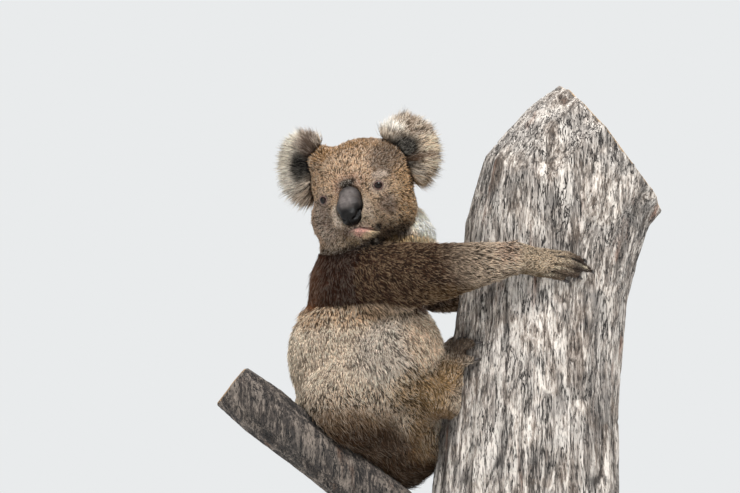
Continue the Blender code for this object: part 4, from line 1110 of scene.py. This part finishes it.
# How the tufts differ from each other: in direction, length, lift and brightness
SWING, SIZE_SPREAD, LIFT_SPREAD, SHADE_SPREAD = 0.20, 0.18, 0.25, 0.14
WISPS, EAR_WISPS = 0.015, 0.03           # the share that are long stray wisps
WISP_GROWTH, LONGEST = 1.35, 1.55        # over the coat's length
WISP_LIFT = 0.20                         # more than the others', in radians
FOLD_THINNING, FOLD_THIN_WIDTH = 0.45, 0.0060    # the coat is shorter in the folds
GAP_BARE = 0.0011                        # none grows nearer than this to a gap between the fingers
BELLY = 0.42                             # the widest place of a tuft, from its root
TIP_LIFT = 0.30                          # lift from the belly to the tip, over that below it
CLUMPING = (0.03, 0.09)                  # how far belly and tip lean into clumps, over the tuft's length
DROOP, EAR_DROOP = 0.04, 0.10            # how far the tips hang, over the tuft's length
BANDED_SHARE, BLACK_SHARE = 0.40, 0.32   # guard hairs: cream over black, and black throughout
EAR_RIM_HALF = (0.034, 0.041)            # the ear's hair is longest from here on: half width, half height
GOLDEN_ARM = (-0.10, 0.06)               # guard hairs turn from golden to cream along this run of the arm
# Piece: (its solids, tufts, length, width, lift in degrees, least share of grizzle)
COATS = {
    "coat_face": (["head"], 32500, 0.0053, 0.00090, 31, 0.85),
    "coat_crown": (["head"], 23000, 0.0080, 0.00105, 34, 0.85),
    "coat_ears": (both("ear"), 28000, 0.0185, 0.00085, 25, 0.30),
    "coat_neck": (["neck", "chest"], 24500, 0.0130, 0.00130, 34, 0.30),
    "coat_back": (["abdomen"], 32500, 0.0100, 0.00130, 38, 0.30),
    "coat_rump": (["rump"], 15000, 0.0145, 0.00145, 33, 0.30),
    "coat_thighs": (both("thigh"), 26000, 0.0098, 0.00125, 38, 0.30),
    "coat_upper_arms": (both("upper_arm"), 24000, 0.0108, 0.00120, 36, 0.75),
    "coat_forearms": (both("forearm"), 18000, 0.0095, 0.00110, 34, 0.75),
    "coat_hands": (both("hand"), 12000, 0.0038, 0.00080, 22, 0.30),
    "coat_feet": (both("shank", "foot"), 16000, 0.0066, 0.00100, 28, 0.30),
}
# The lie of the coat along the body's middle: (place, direction, reach) in the model's axes
MIDDLE_LIE = [
    ((-0.25, 0.0, 0.56), (0.0, 0.0, -1.0), 0.06),  # mane
    ((-0.26, 0.0, 0.48), (-0.1, 0.0, -1.0), 0.07),  # back
    ((-0.265, 0.0, 0.4), (0.05, 0.0, -1.0), 0.07),  # lower back
    ((-0.235, 0.0, 0.32), (0.35, 0.0, -1.0), 0.06),  # rump
    ((-0.17, 0.0, 0.26), (1.0, 0.0, -0.4), 0.06),  # under the rump
    ((-0.07, 0.0, 0.56), (0.0, 0.0, -1.0), 0.06),  # chest
    ((-0.06, 0.0, 0.44), (0.0, 0.0, -1.0), 0.06),  # belly
    ((-0.22, -0.03, 0.61), (-0.2, 0.0, -1.0), 0.04),  # nape
]
# ... and at its sides, with y to the side: (place on the right, direction, reach, height on the left)
SIDE_LIE = [
    ((-0.215, 0.09, 0.46), (0.1, 0.15, -1.0), 0.06, 0.46),  # upper flank
    ((-0.2, 0.095, 0.38), (0.3, 0.0, -1.0), 0.06, 0.38),  # lower flank
    ((-0.165, 0.095, 0.31), (0.55, 0.0, -1.0), 0.05, 0.31),  # rump
    ((-0.15, 0.06, 0.62), (0.1, 0.3, -1.0), 0.04, 0.62),  # under the jaw
    ((-0.16, 0.095, 0.55), (0.75, 0.35, -0.6), 0.04, 0.55),  # shoulder
    ((-0.1, 0.125, 0.545), (1.0, 0.35, -0.35), 0.04, 0.545),  # upper arm
    ((-0.04, 0.14, 0.545), (1.0, 0.1, -0.2), 0.04, 0.545),  # elbow
    ((0.02, 0.14, 0.556), (1.0, -0.12, -0.08), 0.04, 0.545),  # forearm
    ((0.08, 0.13, 0.56), (1.0, -0.15, -0.06), 0.04, 0.548),  # wrist
    ((0.15, 0.11, 0.545), (0.75, -0.65, -0.25), 0.04, 0.533),  # fingers
    ((-0.185, 0.095, 0.43), (0.45, 0.0, -0.9), 0.04, 0.43),  # hip
    ((-0.12, 0.12, 0.43), (0.6, 0.0, -0.8), 0.04, 0.43),  # thigh
    ((-0.09, 0.1, 0.39), (0.65, 0.0, -0.8), 0.03, 0.4),  # lower thigh
    ((-0.055, 0.085, 0.365), (0.1, 0.0, -1.0), 0.02, 0.377),  # heel
    ((-0.04, 0.08, 0.41), (0.15, 0.0, 1.0), 0.025, 0.42),  # instep
    ((-0.02, 0.08, 0.45), (0.45, -0.2, 1.0), 0.025, 0.46),  # toes
]
LIE = MIDDLE_LIE + [((x, side * y, height), (dx, side * dy, dz), reach)
                    for (x, y, z), (dx, dy, dz), reach, left_height in SIDE_LIE
                    for side, height in ((-1, z), (1, left_height))]
FLOW_SOURCE = np.array((0.0, 0.078, -0.020))     # the coat of the face parts here, in the head's axes
EAR_FAN = np.array((-0.030, 0.0, -0.030))        # and that of each ear here, in the ear's
rng = np.random.default_rng(7)


def unit(vectors):
    return vectors / np.maximum(np.linalg.norm(vectors, axis=1), 1e-9)[:, None]


def lie_of_coat(points, normals, owner):
    """The way the hair lies at each point, along the surface."""
    total = np.zeros_like(points)
    for place, direction, reach in LIE:
        away = np.linalg.norm(points - np.array(place), axis=1)
        weight = np.exp(-(away / reach) ** 2) + 1e-4 * np.exp(-away / 0.1)
        total += weight[:, None] * np.array(Vector(direction).normalized())
    local = to_head(points)
    behind = smoothstep(0.0, -0.07, local[:, 1])
    head_flow = unit(unit(local - FLOW_SOURCE) + np.outer(behind, (0, -0.2, -1.3))) @ HEAD_AXES.T
    flow = np.where(belongs(owner, "head")[:, None], head_flow, unit(total))
    flow = unit(flow - normals * np.sum(flow * normals, axis=1)[:, None])
    turn = 0.35 * noise(points, 0.030, 60) + 0.30 * noise(points, 0.011, 61)
    return flow * np.cos(turn)[:, None] + np.cross(normals, flow) * np.sin(turn)[:, None]


def ear_lie(points, normals, owner):
    """Hair of the ears: it fans out from the ear's root, and forwards over the dish."""
    found = np.zeros_like(points)
    for word, (side, _, axes) in EARS.items():
        fan = (to_ear(points, word) - EAR_FAN) * np.array((1, 0.4, 1))
        fan = unit(unit(fan) + np.array((0.10, 0.12, 0.0)))
        world_fan = (fan * np.array((side, 1, 1))) @ axes.T
        found = np.where(belongs(owner, f"ear_{word}")[:, None], world_fan, found)
    return unit(found + normals * 0.22)


def region_unwrap(faces):
    """Smart unwrap of part of the skin: the corners' places on it, as (faces, 3, 2)."""
    used, new_index = np.unique(skin_corners[faces], return_inverse=True)
    patch = bpy.data.meshes.new("patch")
    patch.from_pydata(skin_points[used].tolist(), [], new_index.reshape(-1, 3).tolist())
    holder = new_object("patch", patch)
    edit(holder, bpy.ops.uv.smart_project, angle_limit=math.radians(72), island_margin=0.004)
    spots = np.empty(len(patch.loops) * 2, np.float32)
    patch.uv_layers.active.data.foreach_get("uv", spots)
    bpy.data.objects.remove(holder)
    return spots.reshape(-1, 3, 2)


def tuft_roots(faces, count, face_share):
    """Where the tufts stand, spread over those faces: (places, normals, owners, spots on the unwrap)."""
    corner_points = skin_points[skin_corners[faces]]
    area = np.linalg.norm(np.cross(corner_points[:, 1] - corner_points[:, 0],
                                   corner_points[:, 2] - corner_points[:, 0]), axis=1)
    reach = np.cumsum(area * face_share)
    picks = np.searchsorted(reach, (np.arange(count) + rng.random(count)) * reach[-1] / count)
    picks = np.minimum(picks, len(faces) - 1)
    a, b = np.sqrt(rng.random(count)), rng.random(count)
    mix = np.stack([1 - a, a * (1 - b), a * b], axis=1)[:, :, None]
    roots = np.sum(corner_points[picks] * mix, axis=1)
    normals = unit(np.sum(skin_normals[skin_corners[faces[picks]]] * mix, axis=1))
    spots = np.sum(region_unwrap(faces)[picks] * mix, axis=1)
    keep = (rng.random(count) > bare_share(roots)) & (near_gaps(roots) > GAP_BARE)
    return roots[keep], normals[keep], skin_owner[faces[picks]][keep], spots[keep]


def growth(name, roots, owner):
    """The tufts' length over the piece's own: short by the eyes, the nose and the fingers' gaps."""
    if name == "coat_feet":
        return np.where(belongs(owner, *both("foot")), 0.85, 1.25)
    if name == "coat_hands":
        return 0.55 + 0.45 * smoothstep(0.0020, 0.0060, near_gaps(roots))
    if name == "coat_face":
        from_eyes = np.minimum(near_eye(roots, 1), near_eye(roots, -1))
        nose_gap = np.linalg.norm((to_head(roots) - np.array((0, 0.070, -0.026)))
                                  / np.array((0.030, 0.03, 0.042)), axis=1)
        return np.minimum(0.36 + 0.64 * smoothstep(0.009, 0.026, from_eyes),
                          0.50 + 0.50 * smoothstep(0.8, 1.5, nose_gap))
    found = np.ones(len(roots))
    for word in EARS:
        local = to_ear(roots, word)
        off = np.hypot(local[:, 0] / EAR_RIM_HALF[0], local[:, 2] / EAR_RIM_HALF[1])
        found = np.where(belongs(owner, f"ear_{word}"), 0.62 + 0.55 * smoothstep(0.45, 1.0, off), found)
    return found


def tuft_colours(roots, owner, least_grizzle, golden):
    """Five colours for each tuft, for its root, its three middle corners and its tip."""
    base = markings(roots, owner)
    # The banded and the black ones stand in small flocks, a few millimetres across
    flock = (noise(roots, 0.0017, 93) + 0.30 * noise(roots, 0.0050, 94)
             + rng.normal(0, 0.40, len(roots)))
    pick = np.empty(len(roots))
    pick[np.argsort(flock)] = (np.arange(len(roots)) + 0.5) / len(roots)
    banded, black = pick[:, None] > 1 - BANDED_SHARE, pick[:, None] < BLACK_SHARE
    grizzle = np.clip(base.mean(axis=1) / 0.22, least_grizzle, 1)
    grizzle = (grizzle * np.clip(1.7 - 2.2 * base.mean(axis=1), 0.06, 1))[:, None]
    cream = blend(np.tile(rgb("#f0e6d6"), (len(roots), 1)), "#e0c09a", golden)
    own = base * (FUR_GAIN * np.exp(rng.normal(0, SHADE_SPREAD, len(roots))))[:, None]
    own = own * (1 + 0.12 * noise(roots, 0.022, 91))[:, None]
    middle = own * np.where(banded, 1 - 0.45 * grizzle, np.where(black, 1 - 0.86 * grizzle, 0.95))
    tip = np.where(banded, own * 1.35 + (cream - own) * 0.70 * grizzle,
                   np.where(black, own * (1 - 0.92 * grizzle), own * 1.08))
    return np.clip(np.stack([middle * 0.5, middle, middle, middle * 1.05, tip], axis=1), 0, 0.95)


def tuft_mesh(name, corners, spots):
    """One mesh of the tufts, each a sliver of six faces on five corners, with its bake map."""
    sliver = np.array([(0, 2, 1), (0, 3, 2), (0, 1, 3), (4, 1, 2), (4, 2, 3), (4, 3, 1)])
    triangles = (np.arange(len(corners))[:, None, None] * 5 + sliver[None]).reshape(-1, 3)
    mesh = bpy.data.meshes.new(name)
    mesh.vertices.add(len(corners) * 5)
    mesh.loops.add(len(triangles) * 3)
    mesh.polygons.add(len(triangles))
    mesh.vertices.foreach_set("co", corners.astype(np.float32).ravel())
    mesh.loops.foreach_set("vertex_index", triangles.astype(np.int32).ravel())
    mesh.polygons.foreach_set("loop_start", np.arange(0, len(triangles) * 3, 3, dtype=np.int32))
    mesh.update(calc_edges=True)
    mesh.polygons.foreach_set("use_smooth", np.ones(len(triangles), bool))
    patch = np.array([(0, -0.9), (-0.8, 0.0), (0.8, 0.0), (0.0, 0.2), (0, 1.0)]) * UV_PATCH
    uv = np.clip(spots[:, None, :] + patch[None], 0.001, 0.999).reshape(-1, 2)
    uv = uv[triangles.ravel()].astype(np.float32)
    mesh.uv_layers.new(name="OFBake").data.foreach_set("uv", uv.ravel())
    return mesh


def build_coat(name, faces, face_share):
    """One piece of the coat, rooted over those faces of the skin."""
    _, tufts, length, width, lift, least_grizzle = COATS[name]
    is_ear = name == "coat_ears"
    roots, normals, owner, spots = tuft_roots(faces, int(tufts * COAT_SHARE), face_share)
    count = len(roots)
    flow = (ear_lie if is_ear else lie_of_coat)(roots, normals, owner)
    side = unit(np.cross(flow, normals))
    out = unit(np.cross(side, flow)) if is_ear else normals
    swing = rng.normal(0, SWING, count)[:, None]
    flow = unit(flow * np.cos(swing) + side * np.sin(swing))
    side = unit(np.cross(flow, out))

    sizes = length * np.exp(rng.normal(0, SIZE_SPREAD, count))
    sizes = sizes * (1 - FOLD_THINNING * within(near_lines(roots, FOLDS), FOLD_THIN_WIDTH))
    wisps = rng.random(count) < (EAR_WISPS if is_ear else WISPS)
    sizes = np.minimum(np.where(wisps, sizes * WISP_GROWTH, sizes), length * LONGEST)
    angles = np.radians(lift) * (1 + rng.normal(0, LIFT_SPREAD, count)) + np.where(wisps, WISP_LIFT, 0)
    sizes = sizes * growth(name, roots, owner)
    half = (width * (0.75 + 0.5 * rng.random(count)))[:, None] * 0.5

    # A tuft rises from its root to its belly, and lies flatter from there to its tip
    clump = noise_vectors(roots, 0.0095, 70) + 0.6 * noise_vectors(roots, 0.0045, 80)
    rise, run, size = np.sin(angles)[:, None], np.cos(angles)[:, None], sizes[:, None]
    late_rise, late_run = np.sin(angles * TIP_LIFT)[:, None], np.cos(angles * TIP_LIFT)[:, None]
    middle = roots + size * BELLY * (flow * run + out * rise) + clump * size * CLUMPING[0]
    tips = middle + size * (1 - BELLY) * (flow * late_run + out * late_rise) + clump * size * CLUMPING[1]
    tips[:, 2] -= sizes * (EAR_DROOP if is_ear else DROOP)
    corners = np.stack([roots - out * ROOT_DEPTH, middle - side * half, middle + side * half,
                        middle + out * half * 0.9, tips], axis=1)
    mesh = tuft_mesh(name, corners, spots)
    golden = (1 - smoothstep(*GOLDEN_ARM, roots[:, 0])) * ("arms" in name)
    store(mesh, "coat_colour", tuft_colours(roots, owner, least_grizzle, golden).reshape(-1, 3))
    return new_object(name, mesh)


modify(skin, "TRIANGULATE")
skin_points, skin_normals = surface(skin)
skin_corners = np.empty(len(skin.data.loops), np.int32)
skin.data.loops.foreach_get("vertex_index", skin_corners)
skin_corners = skin_corners.reshape(-1, 3)
face_middles = skin_points[skin_corners].mean(axis=1)
skin_owner = nearest_parts(face_middles)
corner_rows = lid_rows(skin_corners)
furred_lid = (corner_rows.min(axis=1) >= FURRED_ROWS[0]) & (corner_rows.max(axis=1) <= FURRED_ROWS[1])
bare_faces = (skin_corners.min(axis=1) >= lid_start) & ~furred_lid
in_face = smoothstep(0.000, 0.022, to_head(face_middles)[:, 1])
face_shares = {"coat_face": in_face, "coat_crown": 1 - in_face}

# Fur: soft and matt, with a faint shine.
fur, tree, shader = new_material("koala_fur")
tint = node(tree, "Attribute", attribute_name="coat_colour").outputs["Color"]
feed(tree, shader, {"Base Color": tint, "Roughness": 0.70, "Specular IOR Level": 0.12})
for name, (solids, *_) in COATS.items():
    share = face_shares.get(name, np.ones(len(face_middles)))
    mine = belongs(skin_owner, *solids) & ~bare_faces & (share > 0.02)
    dress(build_coat(name, np.flatnonzero(mine), share[mine]), fur)
